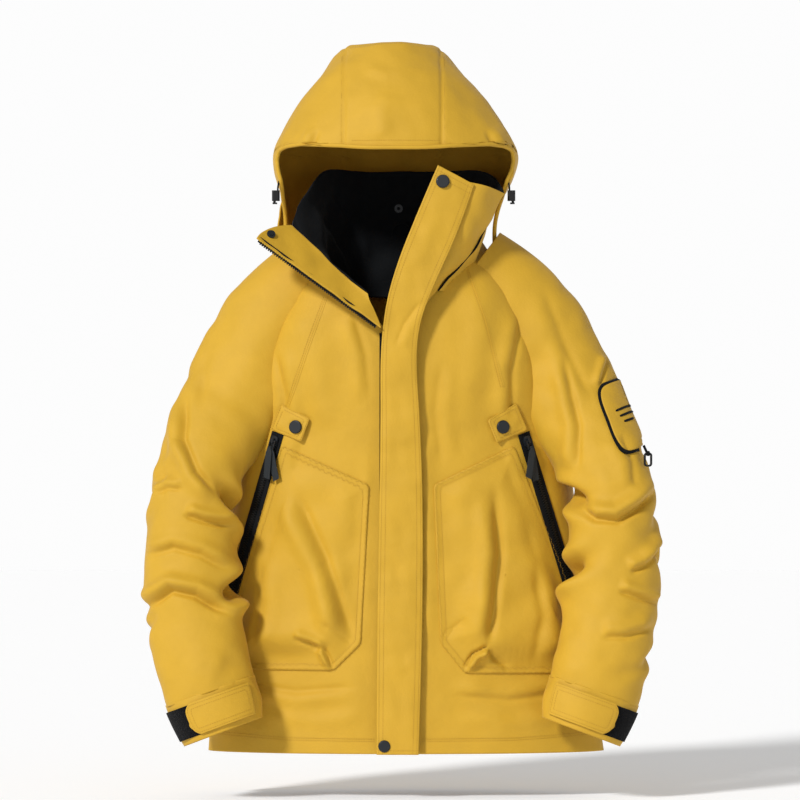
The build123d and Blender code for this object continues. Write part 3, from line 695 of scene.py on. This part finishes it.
# ---------------------------------------------------------------- hood
HOOD = np.array([
    (-0.034, 0.150, 0.098, -0.018, -0.078), (0.008, 0.151, 0.103, -0.016, -0.080), (0.050, 0.165, 0.120,
            -0.012, -0.088),
    (0.100, 0.1735, 0.126, -0.009, -0.090), (0.125, 0.162, 0.124, -0.009, -0.087), (0.165, 0.137, 0.116,
            -0.010, -0.080),
    (0.200, 0.1110, 0.101, -0.012, -0.072), (0.236, 0.081, 0.078, -0.015, -0.060)])
BRIM_Z, BRIM_HALF_DEG = 0.099, 25.0
RIM_Z = [-0.034, 0.008, 0.028, 0.045, 0.057, 0.072, 0.082, 0.090, 0.095, 0.0975, 0.099]
RIM_DEG = [86, 84, 80, 75, 72.5, 73, 73, 70, 61, 46, BRIM_HALF_DEG]


def brim_lift(theta, z):
    """The brim rises towards the temples, and the cloth above it follows."""
    away = np.degrees(np.abs((theta + math.pi) % (2 * math.pi) - math.pi))
    round_head = smooth(away, 8, 52) * smooth(away, 86, 66)
    return 0.0085 * round_head * smooth(z, 0.165, 0.100) * smooth(z, 0.070, 0.092)


def hood_point(theta, v):
    """theta 0 is the front. v from 0 to 0.8 climbs the sides, then to 1 closes the crown."""
    z = np.interp(v, [0, 0.8, 0.86, 0.90, 0.95, 1.0], [-0.034, 0.236, 0.2480, 0.2525, 0.2545, 0.2550])
    low = np.minimum(z, 0.236)
    rings = through(HOOD[:, 0], HOOD[:, 1:], low)
    shrink = np.interp(v, [0, 0.8, 0.86, 0.90, 0.95, 1.0], [1, 1, 0.85, 0.72, 0.38, 0.003])
    a, b = rings[..., 0] * shrink, rings[..., 1] * shrink
    power = 2.1
    s, c = np.sin(theta), np.cos(theta)
    x = rings[..., 2] + a * np.sign(s) * np.abs(s) ** (2 / power)
    y = rings[..., 3] - b * np.sign(c) * np.abs(c) ** (2 / power)
    return np.stack([x, y, z + brim_lift(theta, z)], axis=-1)


HOOD_FOLDS = [
    ([(-20, 180), (-30, 140), (-26, 108)], 3, 14, "ridge"),
    ([(-120, 130), (-135, 90), (-140, 50)], 4.5, 10, "fold+"),
    ([(-160, 70), (-168, 20), (-165, -20)], 5, 10, "fold-"),
    ([(120, 130), (138, 90), (143, 50)], 4.5, 10, "fold-"),
    ([(-60, 215), (-20, 205), (30, 212)], 2.5, 10, "ridge"),
]


def build_hood():
    v_all = np.r_[np.linspace(0, 0.8, 150), np.linspace(0.8, 1.0, 50)[1:]]
    v_brim = (BRIM_Z + 0.034) / 0.27 * 0.8
    rows = len(v_all)
    # side and back: from the face opening's edge on one side, round the back, to the other
    cols = 300
    z = np.interp(v_all, [0, 0.8], [-0.034, 0.236])
    rim = np.interp(z, RIM_Z, RIM_DEG)
    s = np.linspace(0, 1, cols)[None, :]
    theta = np.radians(rim[:, None] + (360 - 2 * rim[:, None]) * s)
    v = v_all[:, None] * np.ones((1, cols))
    sides = hood_point(theta, v)
    # front: above the brim only
    rows_above = v_all[v_all >= v_brim]
    rows_above[0] = v_brim
    cols_f = 80
    theta_f = np.radians(np.linspace(-BRIM_HALF_DEG, BRIM_HALF_DEG, cols_f))[None,
            :] * np.ones((len(rows_above), 1))
    top = hood_point(theta_f, rows_above[:, None] * np.ones((1, cols_f)))
    parts = []
    for p in (sides, top):
        n = facing_way(normals_of(p), p - np.array([-0.01, -0.08, 0.09]))
        x, zz = p[..., 0], p[..., 2]
        front_side = smooth(-p[..., 1], 0.085, 0.12)
        h = folds(x, zz, HOOD_FOLDS) * front_side
        h += 0.0013 * undulation(p, 31, 0.10) + 0.0004 * undulation(p, 32, 0.04)
        seam_gap = np.minimum(np.abs(x + 0.082), np.abs(x - 0.056))
        h -= 0.0018 * np.exp(-(seam_gap / 0.003) ** 2)
        h *= smooth(0.2549 - zz, 0.0, 0.004) * 0.9 + 0.1
        parts.append(p + n * h[..., None])
    sides, top = parts
    flare = smooth(sides[..., 2], 0.045, -0.034) * smooth(-sides[..., 0], 0.10, 0.16)
    sides[..., 0] -= 0.024 * flare * smooth(-sides[..., 1], 0.06, 0.11)
    sides[..., 0] -= 0.026 * smooth(sides[..., 2], 0.040, -0.034) * smooth(sides[..., 0], 0.06, 0.13)
    verts = np.concatenate([sides.reshape(-1, 3), top.reshape(-1, 3)])
    faces = []
    for p, start in ((sides, 0), (top, rows * cols)):
        patch = grid_faces(*p.shape[:2], start=start)
        cross = np.cross(p[5, 6] - p[5, 5], p[6, 5] - p[5, 5])
        outwards = cross @ (p[5, 5] - np.array([-0.01, -0.08, p[5, 5, 2]])) > 0
        faces += patch if outwards else [f[::-1] for f in patch]
    obj = make("hood_shell", verts, faces, [YELLOW, YELLOW_INSIDE_PAINTED_SHADE],
               stands_for=("hood_centre_panel", "hood_left_panel", "hood_right_panel"), slot="shell_fabric")
    weld = obj.modifiers.new("weld", "WELD")
    weld.merge_threshold = 0.0012
    thicken(obj, SHELL, inside=1)
    # the binding along the face opening
    z_side = np.linspace(-0.034, BRIM_Z, 70)
    rim_side = np.interp(z_side, RIM_Z, RIM_DEG)
    v_side = (z_side + 0.034) / 0.27 * 0.8
    one = hood_point(-np.radians(rim_side), v_side)
    brim = hood_point(np.radians(np.linspace(-BRIM_HALF_DEG, BRIM_HALF_DEG, 40)), np.full(40, v_brim))[1:-1]
    other = hood_point(np.radians(rim_side), v_side)[::-1]
    edge = np.concatenate([one, brim, other])
    return obj, edge


hood, hood_edge = build_hood()
hood_tree = tree_of(hood)
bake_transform(hood)


def tube(name, path, radius, mats, sides=10, **more):
    path = np.asarray(path, float)
    along = unit(np.gradient(path, axis=0))
    ref = np.array([0.0, -1.0, 0.2])
    u = unit(np.cross(along, ref))
    w = np.cross(along, u)
    turn = round_turn(sides)
    ring = np.cos(turn)[None, :, None] * u[:, None, :] + np.sin(turn)[None, :, None] * w[:, None, :]
    rows = path[:, None, :] + radius * ring
    faces = grid_faces(len(path), sides, wrap=True)
    last = (len(path) - 1) * sides
    faces += [tuple(range(sides))[::-1], tuple(last + i for i in range(sides))]
    return make(name, rows.reshape(-1, 3), faces, mats, **more)


binding = tube("hood_binding", hood_edge, 0.0030, [YELLOW], slot="shell_fabric")
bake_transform(binding)


# ---------------------------------------------------------------- collar, lapel and storm flap
def build_collar():
    # black inner collar: the wearer's left side, round the back of the neck, to the turned-out lapel
    columns = [
        [(143, -146, 38), (124, -154, 2), (96, -162, -44), (50, -178, -100)],
        [(130, -105, 62), (118, -110, 4), (108, -114, -46), (94, -120, -102)],
        [(104, -60, 74), (104, -60, 10), (104, -66, -50), (100, -78, -106)],
        [(66, -8, 75), (66, -11, 10), (66, -22, -50), (64, -34, -106)],
        [(0, 4, 75), (0, 4.2, 10), (0, -6, -50), (0, -20, -106)],
        [(-66, -8, 75), (-66, -11, 10), (-66, -22, -50), (-64, -34, -106)],
        [(-103, -56, 75), (-102, -58, 10), (-102, -68, -50), (-98, -78, -106)],
        [(-124, -96, 54), (-116, -102, 0), (-102, -116, -58), (-84, -128, -106)],
        [(-145, -130, 24), (-126, -140, -24), (-96, -152, -68), (-64, -162, -106)],
        [(-155, -152, -10), (-120, -166, -42), (-84, -177, -76), (-50, -186, -104)],
    ]
    grid = through_grid(np.array(columns).transpose(1, 0, 2), 160, 90)
    n = facing_way(normals_of(grid), (np.array([0, -0.10, 0]) - grid) * np.array([1, 1, 0]))
    h = 0.0020 * undulation(grid, 41, 0.06) + folds(grid[..., 0], grid[..., 2], [
        ([(-128, 30), (-90, -40), (-60, -96)], 4, 10, "fold+"),
        ([(-100, 60), (-70, 0), (-50, -60)], 3, 10, "fold-"),
        ([(-40, -20), (0, -28), (40, -20)], 3, 8, "ridge"),
    ])
    grid = grid + n * h[..., None]
    lining = make_grid("neck_lining", grid, [LINING, YELLOW], n, body="jacket",
                       stands_for=("collar_lining", "collar_shell"), slot="lining_fabric")
    thicken(lining, 0.0030, offset=-1.0, inside=1, rim=0)
    # the turned-out front of the collar, inner facing up
    rows = [
        [(-30, -208.8, -153.5), (-78, -206.8, -118.5), (-136, -204.5, -76.5), (-203.5, -202.1, -27.5)],
        [(-36, -199.5, -137), (-74, -197.5, -110), (-130, -193.5, -68), (-196.5, -188.5, -19)],
        [(-44, -192, -120), (-74, -188, -96), (-122, -178, -55), (-178, -168, -11)],
        [(-48, -188, -105), (-84, -179, -77), (-118, -168, -43), (-156, -153.5, -9)],
    ]
    facing = through_grid(rows, 130, 40)
    n = facing_way(normals_of(facing), (0, -1, 0))
    facing = facing + n * (0.0012 * undulation(facing, 43, 0.05))[..., None]
    lapel = make_grid("lapel_facing", facing, [YELLOW], n, body="jacket", stands_for=("right_lapel",),
                      slot="shell_fabric")
    thicken(lapel, SHELL, offset=0)
    # the standing front of the collar on the wearer's left, beside the flap
    rows = [
        [(30, -190, -128), (38, -185, -112), (46, -180, -100)],
        [(30, -195, -98), (48, -190, -90), (64, -174, -77)],
        [(60, -193, -34), (82, -186, -40), (98, -162, -44)],
        [(82, -190, 20), (106, -182, 10), (124, -154, 2)],
        [(92, -188, 52), (120, -178, 46), (143, -146, 38)],
    ]
    stand = through_grid(rows, 60, 110)
    n = facing_way(normals_of(stand), (0, -1, 0))
    stand = stand + n * (0.0014 * undulation(stand, 44, 0.05))[..., None]
    left = make_grid("collar_front_left", stand, [YELLOW, LINING], n, body="jacket",
                     stands_for=("left_collar_front",), slot="shell_fabric")
    thicken(left, 0.0024, offset=0, inside=1)


build_collar()

FLAP_Z = [HEM_Z, -0.538, -0.254, -0.155, -0.098, -0.020, 0.075]
FLAP_LEFT_X = [-0.0355, -0.0340, -0.0300, -0.0270, -0.0170, 0.0100, 0.0500]
FLAP_RIGHT_Z = [HEM_Z, -0.254, -0.1406, -0.098, -0.034, 0.048]
FLAP_RIGHT_X = [0.0229, 0.0227, 0.0270, 0.0426, 0.0710, 0.1010]


def build_flap():
    rows, cols = 420, 44
    v = np.linspace(0, 1, rows)
    left_z = HEM_Z + (0.075 - HEM_Z) * v
    right_z = HEM_Z + (0.048 - HEM_Z) * v
    left_x = through(FLAP_Z, np.array(FLAP_LEFT_X)[:, None], left_z)[:, 0]
    right_x = through(FLAP_RIGHT_Z, np.array(FLAP_RIGHT_X)[:, None], right_z)[:, 0]
    u = np.linspace(0, 1, cols)[None, :]
    x = left_x[:, None] * (1 - u) + right_x[:, None] * u
    z = left_z[:, None] * (1 - u) + right_z[:, None] * u
    y = through([-0.76, -0.70, -0.30, -0.16, -0.08, 0.00, 0.052, 0.08],
                np.array([-0.1956, -0.1958, -0.1972, -0.2030, -0.2075, -0.2050, -0.1985, -0.1955])[:,
                        None], z)[..., 0]
    lower = smooth(z, -0.12, -0.20)
    y += 0.010 * u ** 2 * smooth(z, -0.10, 0.04)
    y += 0.0022 * (np.abs(2 * u - 1) ** 3) * lower - 0.0012 * lower
    p = np.stack([x, y, z], axis=-1)
    wave = 0.0008 * undulation(p, 51, 0.07) + 0.0004 * undulation(p, 52, 0.030)
    wave += folds(x, z, [
        ([(-6, -180), (6, -150), (30, -116)], 2, 10, "fold+"),
        ([(10, -80), (30, -40), (50, 10)], 1.8, 12, "ridge"),
        ([(-30, -300), (-4, -310), (18, -300)], 0.8, 8, "ridge"),
        ([(-30, -460), (-4, -450), (18, -462)], 0.8, 8, "ridge"),
        ([(-30, -620), (-4, -632), (18, -620)], 0.8, 8, "ridge"),
    ])
    for cap_x, cap_z in ((-0.025, -0.739), (0.057, 0.052)):
        wave *= smooth(np.hypot(x - cap_x, z - cap_z), 0.010, 0.035)
    p[..., 1] -= wave
    obj = make_grid("storm_flap_cloth", p, [YELLOW], (0, -1, 0),
                    stands_for=("storm_flap", "storm_flap_collar", "storm_flap_seam"),
                    slot="shell_fabric")
    thicken(obj, 0.0024, offset=0)
    n = np.broadcast_to([0.0, -1.0, 0.0], p.shape)
    sew = Stitches()
    for c in (2, 6):
        sew.add(p[:, c] + [0, -0.0012, 0], n[:, c])
        sew.add(p[:, cols - 1 - c] + [0, -0.0012, 0], n[:, c])
    for r in (rows - 4, rows - 8, 3):
        sew.add(p[r] + [0, -0.0012, 0], n[r])
    thread = make("flap_stitches", sew.verts, sew.faces, [THREAD])
    for o in (obj, thread):
        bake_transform(o)


build_flap()


# ---------------------------------------------------------------- zips
def box_mesh(verts, faces, centre, axes, size):
    base = len(verts)
    for sx in (-1, 1):
        for sy in (-1, 1):
            for sz in (-1, 1):
                verts.append(centre + axes[0] * size[0] * sx / 2 + axes[1] * size[1] * sy / 2 + axes[2]
                        * size[2] * sz / 2)
    for f in ((0, 1, 3, 2), (4, 6, 7, 5), (0, 4, 5, 1), (2, 3, 7, 6), (0, 2, 6, 4), (1, 5, 7, 3)):
        faces.append(tuple(base + i for i in f))


def teeth_along(start, along, across, out, length, sides, pitch=0.0036):
    """Moulded teeth, each with a head that reaches over the middle and a foot on the tape."""
    verts, faces = [], []
    count = int(length / pitch)
    for i in range(count):
        for side in sides:
            s = i * pitch + (pitch / 2 if side < 0 else 0) + pitch / 4
            c = start + along * s + out * 0.0011
            box_mesh(verts, faces, c + across * side * 0.0017, (across, along, out),
                     (0.0034, 0.00155, 0.0021))
            box_mesh(verts, faces, c - across * side * 0.0003, (across, along, out),
                     (0.0013, 0.0021, 0.0015))
    return verts, faces


def build_zips():
    # closed part of the front zip
    bottom = np.array([ZIP_X, -0.1854, -0.7330])
    up, right, out = np.array([0.0, 0, 1]), np.array([1.0, 0, 0]), np.array([0.0, -1, 0])
    verts, faces = teeth_along(bottom, up, right, out, 0.572, (-1, 1))
    # open part, along the lapel's edge and up the standing collar
    for low, high, outward in (
        ((-0.038, -0.2070, -0.153), (-0.203, -0.2005, -0.033), (0.12, -0.97, 0.2)),
        ((-0.012, -0.1906, -0.148), (0.052, -0.1850, 0.056), (-0.05, -1, 0)),
    ):
        low, high = np.array(low), np.array(high)
        along = unit(high - low)
        o = np.array(outward)
        o = unit(o - along * (o @ along))
        across = np.cross(along, o)
        more_v, more_f = teeth_along(low, along, across, o, np.linalg.norm(high - low) - 0.002, (1,))
        base = len(verts)
        verts += more_v
        faces += [tuple(base + i for i in f) for f in more_f]
    make("front_teeth", verts, faces, [TEETH], body="jacket", stands_for=("front_zip_teeth",),
         slot="moulded_black",
         smooth_shade=False)
    for side, zip_ in POCKET_ZIPS.items():
        start = zip_["bottom"] + zip_["along"] * 0.004
        verts, faces = teeth_along(start, zip_["along"], zip_["across"], zip_["out"], 0.238, (-1, 1))
        make(side + "_pocket_teeth", verts, faces, [TEETH], body="jacket",
             stands_for=(side + "_pocket_zip_teeth",),
             slot="moulded_black", smooth_shade=False)


build_zips()


# ---------------------------------------------------------------- pockets
POCKET_OUTLINES = {
    "right": [(-0.169, -0.318), (-0.046, -0.373), (-0.058, -0.596), (-0.096, -0.634), (-0.250, -0.634),
              (-0.250, -0.575), (-0.238, -0.545)],
    "left": [(0.158, -0.318), (0.044, -0.373), (0.054, -0.596), (0.088, -0.638), (0.256, -0.640),
             (0.258, -0.575), (0.246, -0.545)],
}
POCKET_FOLDS = {
    "right": [
        ([(-156, -385), (-112, -480), (-74, -600)], 10, 20, "fold+"),
        ([(-112, -600), (-96, -636)], 9, 6, "fold+"),
        ([(-152, -586), (-128, -593), (-106, -606)], 7.5, 8, "fold-"),
        ([(-112, -566), (-92, -580), (-66, -598)], 4, 5, "crease"),
        ([(-200, -470), (-190, -540), (-200, -610)], 4, 18, "fold-"),
    ],
    "left": [
        ([(122, -370), (130, -470), (120, -550), (112, -600)], 10, 18, "fold+"),
        ([(86, -638), (100, -612), (120, -600)], 10, 6, "fold+"),
        ([(54, -590), (70, -576), (90, -558)], 4.5, 5, "crease"),
        ([(110, -600), (126, -618), (150, -634)], 6, 8, "fold+"),
        ([(190, -480), (200, -560), (190, -630)], 4, 18, "fold-"),
    ],
}


def build_pocket(side):
    ring, share, xs, zs = filled_outline(POCKET_OUTLINES[side], 0.003, passes=3, rings=46)
    edge = np.min(np.hypot(xs[..., None] - ring[None, None, ::3, 0], zs[..., None]
                           - ring[None, None, ::3, 1]), axis=-1)
    points = np.zeros(xs.shape + (3,))
    normals = np.zeros_like(points)
    for i in range(xs.shape[0]):
        for j in range(xs.shape[1]):
            got = cast(torso_tree, xs[i, j], zs[i, j])
            points[i, j], normals[i, j] = got if got else (points[i, j - 1], normals[i, j - 1])
    rise = 0.0016 + 0.0050 * smooth(edge, 0.008, 0.045)
    rise += 0.008 * smooth(edge, 0.010, 0.055) * smooth(zs, -0.45, -0.60)
    h = folds(xs, zs, POCKET_FOLDS[side]) * smooth(edge, 0.000, 0.014)
    h += 0.0016 * undulation(points, 61 if side == "right" else 62, 0.07) * smooth(edge, 0.004, 0.030)
    # a press line beside the sewn edge
    h -= 0.0005 * np.exp(-((edge - 0.0085) / 0.0020) ** 2)
    # distance to each zip stays free
    zip_ = POCKET_ZIPS[side]
    d, _ = to_segment(xs, zs, zip_["top"][[0, 2]], zip_["bottom"][[0, 2]])
    rise *= smooth(np.abs(d), 0.008, 0.030) * 0.8 + 0.2
    h *= smooth(np.abs(d), 0.008, 0.040)
    points = points + normals * (rise + h)[..., None]
    obj = make_grid(side + "_pocket_cloth", points, [YELLOW], normals, wrap=True, body="jacket",
                    stands_for=(side + "_pocket_panel",), slot="shell_fabric")
    thicken(obj, SHELL)
    sew = Stitches()
    for inset in (0.0020, 0.0085):
        line, norm = [], []
        for j in range(points.shape[1]):
            i = int(np.argmin(np.abs(edge[:, j] - inset) + (share < 0.5) * 9))
            line.append(points[i, j] + normals[i, j] * 0.0012)
            norm.append(normals[i, j])
        line.append(line[0])
        norm.append(norm[0])
        sew.add(np.array(line), np.array(norm))
    sew.build(side + "_pocket_stitches", "jacket")


for side in SIDES:
    build_pocket(side)

TABS = {
    "right": [(-0.171, -0.260), (-0.131, -0.280), (-0.143, -0.313), (-0.186, -0.296)],
    "left": [(0.162, -0.258), (0.121, -0.282), (0.134, -0.315), (0.178, -0.296)],
}


def plane_of_node(name):
    """Centre and outward normal of a flat CAD node, from its largest face."""
    obj = NODES[name]
    best, normal, centre = 0, None, None
    for poly in obj.data.polygons:
        world = obj.matrix_world.to_3x3() @ poly.normal
        if poly.area > best and world.y < 0:
            best, normal, centre = poly.area, np.array(world), np.array(obj.matrix_world @ poly.center)
    return centre, unit(normal)


def build_tab(side):
    centre, out = plane_of_node(side + "_pocket_tab")
    rings = 16
    _, share, xs, zs = filled_outline(TABS[side], 0.0016, passes=4, rings=rings)
    ys = centre[1] - ((xs - centre[0]) * out[0] + (zs - centre[2]) * out[2]) / out[1]
    p = np.stack([xs, ys, zs], axis=-1)
    droop = 0.0016 * share[:, None] ** 3 * np.ones_like(xs) + 0.0004 * undulation(p, 71, 0.02)
    p = p - out * (droop + 0.0002)[..., None]
    obj = make_grid(side + "_tab_cloth", p, [YELLOW], out, wrap=True, body=side + "_pocket_tab",
                    stands_for=(side + "_pocket_tab",), slot="shell_fabric")
    thicken(obj, 0.0020, offset=-1)
    sew = Stitches()
    for k in (rings - 2, rings - 5):
        line = np.concatenate([p[k], p[k, :1]])
        sew.add(line + out * 0.0002, np.broadcast_to(out, line.shape))
    sew.build(side + "_tab_stitches", side + "_pocket_tab")


for side in SIDES:
    build_tab(side)


# ---------------------------------------------------------------- seams and hems
def build_seams():
    sew = Stitches()

    def seam(name, xz, tree=torso_tree, half=0.0018, thick=0.0005, y_from=-0.6, toward=1, twin=0.0042,
             ridge=True):
        points, normals = drape_line(tree, xz, 0.004, y_from, toward)
        if len(points) < 3:
            return
        if ridge:
            strip(points, normals, half, thick, 0.0, name, [YELLOW], body="jacket", slot="shell_fabric")
        across = across_line(points, normals)
        sew.add(points + across * twin + normals * 0.0001, normals)
        sew.add(points + across * (half - 0.001) + normals * thick, normals)

    seam("raglan_seam_right", [(-0.106, -0.108), (-0.130, -0.175), (-0.160, -0.262)])
    seam("raglan_seam_left", [(0.094, -0.070), (0.118, -0.140), (0.142, -0.235)])
    seam("back_yoke_seam", [(-0.170, -0.150), (-0.080, -0.172), (0.0, -0.178), (0.080, -0.172),
            (0.170, -0.150)], y_from=0.5, toward=-1)
    # hem
    hem = [(-0.262, -0.722), (-0.16, -0.728), (-0.036, -0.729)]
    seam("hem_right", hem, ridge=False)
    seam("hem_left", [(0.026, -0.729), (0.16, -0.728), (0.268, -0.722)], ridge=False)
    seam("hem_back", [(-0.262, -0.722), (-0.1, -0.729), (0.1, -0.729), (0.268, -0.722)], y_from=0.5,
         toward=-1, ridge=False)
    sew.build("torso_stitches", "jacket")


build_seams()


def build_hood_trim():
    sew = Stitches()
    for x in (-0.082, 0.056):
        for y_from, toward, top_z in ((-0.6, 1, 0.236), (0.5, -1, 0.236)):
            low = BRIM_Z + 0.006 if toward == 1 else 0.035
            points, normals = drape_line(hood_tree, [(x, low), (x, top_z)], 0.004, y_from, toward)
            across = across_line(points, normals)
            sew.add(points + across * 0.0035, normals)
            sew.add(points - across * 0.0035, normals)
    points, normals = drape_line(hood_tree, [(-0.072, BRIM_Z + 0.010), (0.054, BRIM_Z + 0.010)], 0.004)
    sew.add(points, normals)
    sew.build("hood_stitches", "hood")


build_hood_trim()


# ---------------------------------------------------------------- badge
def build_badge():
    tree = sleeve_trees["left"]
    at = np.array([0.314, -0.276])
    lean = math.radians(-20)
    up = np.array([math.sin(lean), math.cos(lean)])
    right = np.array([up[1], -up[0]])

    def outline(w, h, count=96):
        turn = round_turn(count)
        c, s = np.cos(turn), np.sin(turn)
        e = 2 / 4.2
        return np.stack([w / 2 * np.sign(c) * np.abs(c) ** e, h / 2 * np.sign(s) * np.abs(s) ** e], axis=1)

    def patch(name, w, h, lift, mat, thick, shift=(0, 0), stands_for=(), slot=None):
        ring = outline(w, h)
        share = np.linspace(0.0, 1, 20)
        pts = np.zeros((20, len(ring), 3))
        last = None
        for i, k in enumerate(share):
            for j, (u, v) in enumerate(ring * k):
                q = at + right * (u + shift[0]) + up * (v + shift[1])
                got = cast(tree, q[0], q[1])
                if got is None:
                    got = last
                last = got
                pts[i, j] = got[0] + got[1] * lift
        obj = make_grid(name, pts, [mat], (0, -1, 0), wrap=True, body="left_sleeve", stands_for=stands_for,
                        slot=slot)
        thicken(obj, thick, offset=0)
        return obj

    patch("badge_edge", 0.058, 0.106, 0.0016, LINING, 0.0016, stands_for=("sleeve_badge_border",),
          slot="lining_fabric")
    patch("badge_panel", 0.051, 0.098, 0.0030, YELLOW, 0.0014, stands_for=("sleeve_badge_face",),
          slot="shell_fabric")
    for k, w in enumerate((0.026, 0.020, 0.014)):
        patch(f"badge_bar_{k}", w, 0.0032, 0.0040, LINING, 0.0006, shift=(0, 0.010 - 0.009 * k))


build_badge()


# ---------------------------------------------------------------- pull ribbons
def build_ribbons():
    """A ribbon folded through each pull's lower bar, its two tails hanging side by side."""
    for side, leans in (("right", (-0.06, 0.30)), ("left", (-0.24, 0.16))):
        zip_ = POCKET_ZIPS[side]
        out = zip_["out"]
        bar = zip_["pin"] - zip_["along"] * 0.011
        verts, faces = [], []
        for k, lean in enumerate(leans):
            d = unit(np.array([lean, 0.0, -1.0]))
            d = unit(d - out * (d @ out))
            w = np.cross(d, out)
            length = 0.045 + 0.003 * k
            steps = 24
            base = len(verts)
            for i in range(steps):
                share = i / (steps - 1)
                half = 0.0021 + 0.0030 * smooth(share, 0.0, 0.22)
                lift = 0.0031 - 0.0032 * k * smooth(share, 0.0, 0.10) + 0.0010 * math.sin(2.6 * share + k)
                c = bar + d * (share * length - 0.002) + out * lift
                slant = w * half + d * (0.0012 * share * (1 if k else -1))
                for corner in (-slant, -slant + out * 0.0007, slant + out * 0.0007, slant):
                    verts.append(c + corner)
            faces += [tuple(base + i for i in f) for f in grid_faces(steps, 4, wrap=True)]
            last = base + (steps - 1) * 4
            faces += [(base + 3, base + 2, base + 1, base), (last, last + 1, last + 2, last + 3)]
        # the fold round the bar
        turns, base = 14, len(verts)
        for i in range(turns):
            turn = math.radians(-100 + 200 * i / (turns - 1))
            c = bar + zip_["along"] * (0.0022 * math.cos(turn)) + out * (0.0022 * math.sin(turn))
            o = unit(c - bar)
            for corner in (-0.0021 * zip_["across"], -0.0021 * zip_["across"] + o * 0.0007,
                           0.0021 * zip_["across"] + o * 0.0007, 0.0021 * zip_["across"]):
                verts.append(c + corner)
        faces += [tuple(base + i for i in f) for f in grid_faces(turns, 4, wrap=True)]
        make(side + "_ribbon_tails", verts, faces, [RIBBON], body=side + "_pocket_pull",
             stands_for=(side + "_pull_ribbon",), slot="zip_tape", smooth_shade=False)


build_ribbons()

# ---------------------------------------------------------------- cords
for side, sign in SIDES.items():
    route = [(0.1496, -0.1260, 0.057), (0.1516, -0.1276, 0.050), (0.1520, -0.1280, 0.041),
             (0.1520, -0.1280, 0.028)]
    if side == "right":
        route = [(-0.024 - x, y, z) for x, y, z in route]
    curve = bpy.data.curves.new(side + "_cord", "CURVE")
    curve.dimensions = "3D"
    curve.bevel_depth = 0.00125
    curve.bevel_resolution = 4
    spline = curve.splines.new("NURBS")
    spline.points.add(len(route) - 1)
    for point, co in zip(spline.points, route):
        point.co = (*co, 1)
    spline.order_u = 3
    spline.use_endpoint_u = True
    curve.materials.append(CORD)
    obj = add_object(side + "_cord_end", curve)
    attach(obj, side + "_toggle")
    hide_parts(side + "_hood_cord")

# ---------------------------------------------------------------- materials of the CAD pieces that show
CAD_LOOKS = {
    TAPE: ["front_zip_tape", "right_pocket_zip_tape", "left_pocket_zip_tape", "hanger_loop",
           "ring_webbing"],
    PLASTIC: ["front_zip_box", "right_cord_lock", "left_cord_lock", "right_lock_button",
              "left_lock_button", "clip_ring"],
    METAL: ["front_zip_slider", "front_zip_pull", "right_pocket_slider", "left_pocket_slider",
            "right_pocket_pull",
            "left_pocket_pull", "pocket_snap_studs", "collar_snap_cap", "lapel_snap_stud",
            "liner_snap_socket",
            "hem_snap_cap", "right_pocket_snap_cap", "left_pocket_snap_cap"],
}
for mat, names in CAD_LOOKS.items():
    for name in names:
        data = NODES[name].data
        data.materials.clear()
        data.materials.append(mat)


# ---------------------------------------------------------------- stage, light and camera
def studio():
    floor_mesh = bpy.data.meshes.new("floor")
    corners = ((-9, -9), (9, -9), (9, 9), (-9, 9))
    floor_mesh.from_pydata([(x, y, FLOOR_Z) for x, y in corners], [], [(0, 1, 2, 3)])
    white = bpy.data.materials.new("floor_white")
    white.use_nodes = True
    put(white.node_tree.nodes["Principled BSDF"], Base_Color=(0.93, 0.93, 0.93, 1), Roughness=0.9,
        Emission_Color=(1, 1, 1, 1), Emission_Strength=0.16)
    floor_mesh.materials.append(white)
    add_object("floor", floor_mesh)
    world = bpy.data.worlds.new("studio")
    bpy.context.scene.world = world
    world.use_nodes = True
    tree = world.node_tree
    # a bright band round the horizon, softer above and below
    place = tree.nodes.new("ShaderNodeTexCoord")
    split = tree.nodes.new("ShaderNodeSeparateXYZ")
    height = tree.nodes.new("ShaderNodeMath")
    height.operation = "ABSOLUTE"
    band = tree.nodes.new("ShaderNodeMapRange")
    band.interpolation_type = "SMOOTHSTEP"
    put(band, From_Min=0.12, From_Max=0.32, To_Min=0.98, To_Max=0.36)
    tree.links.new(place.outputs["Generated"], split.inputs["Vector"])
    tree.links.new(split.outputs["Z"], height.inputs[0])
    tree.links.new(height.outputs["Value"], band.inputs["Value"])
    tree.links.new(band.outputs["Result"], tree.nodes["Background"].inputs["Strength"])
    tree.nodes["Background"].inputs["Color"].default_value = (1, 1, 1, 1)

    sun = bpy.data.lights.new("key", "SUN")
    sun.energy = 2.9
    sun.angle = math.radians(9)
    key = add_object("key", sun)
    key.rotation_euler = Vector((0.75, 1.0, -0.80)).to_track_quat("-Z", "Y").to_euler()

    camera = add_object("camera", bpy.data.cameras.new("camera"))
    camera.location = (-0.003, -7.0, -0.254)
    camera.rotation_euler = (math.radians(90), 0, 0)
    camera.data.sensor_width = 36.0
    camera.data.lens = 218.6
    bpy.context.scene.camera = camera
    bpy.context.scene.view_settings.view_transform = "Standard"


studio()
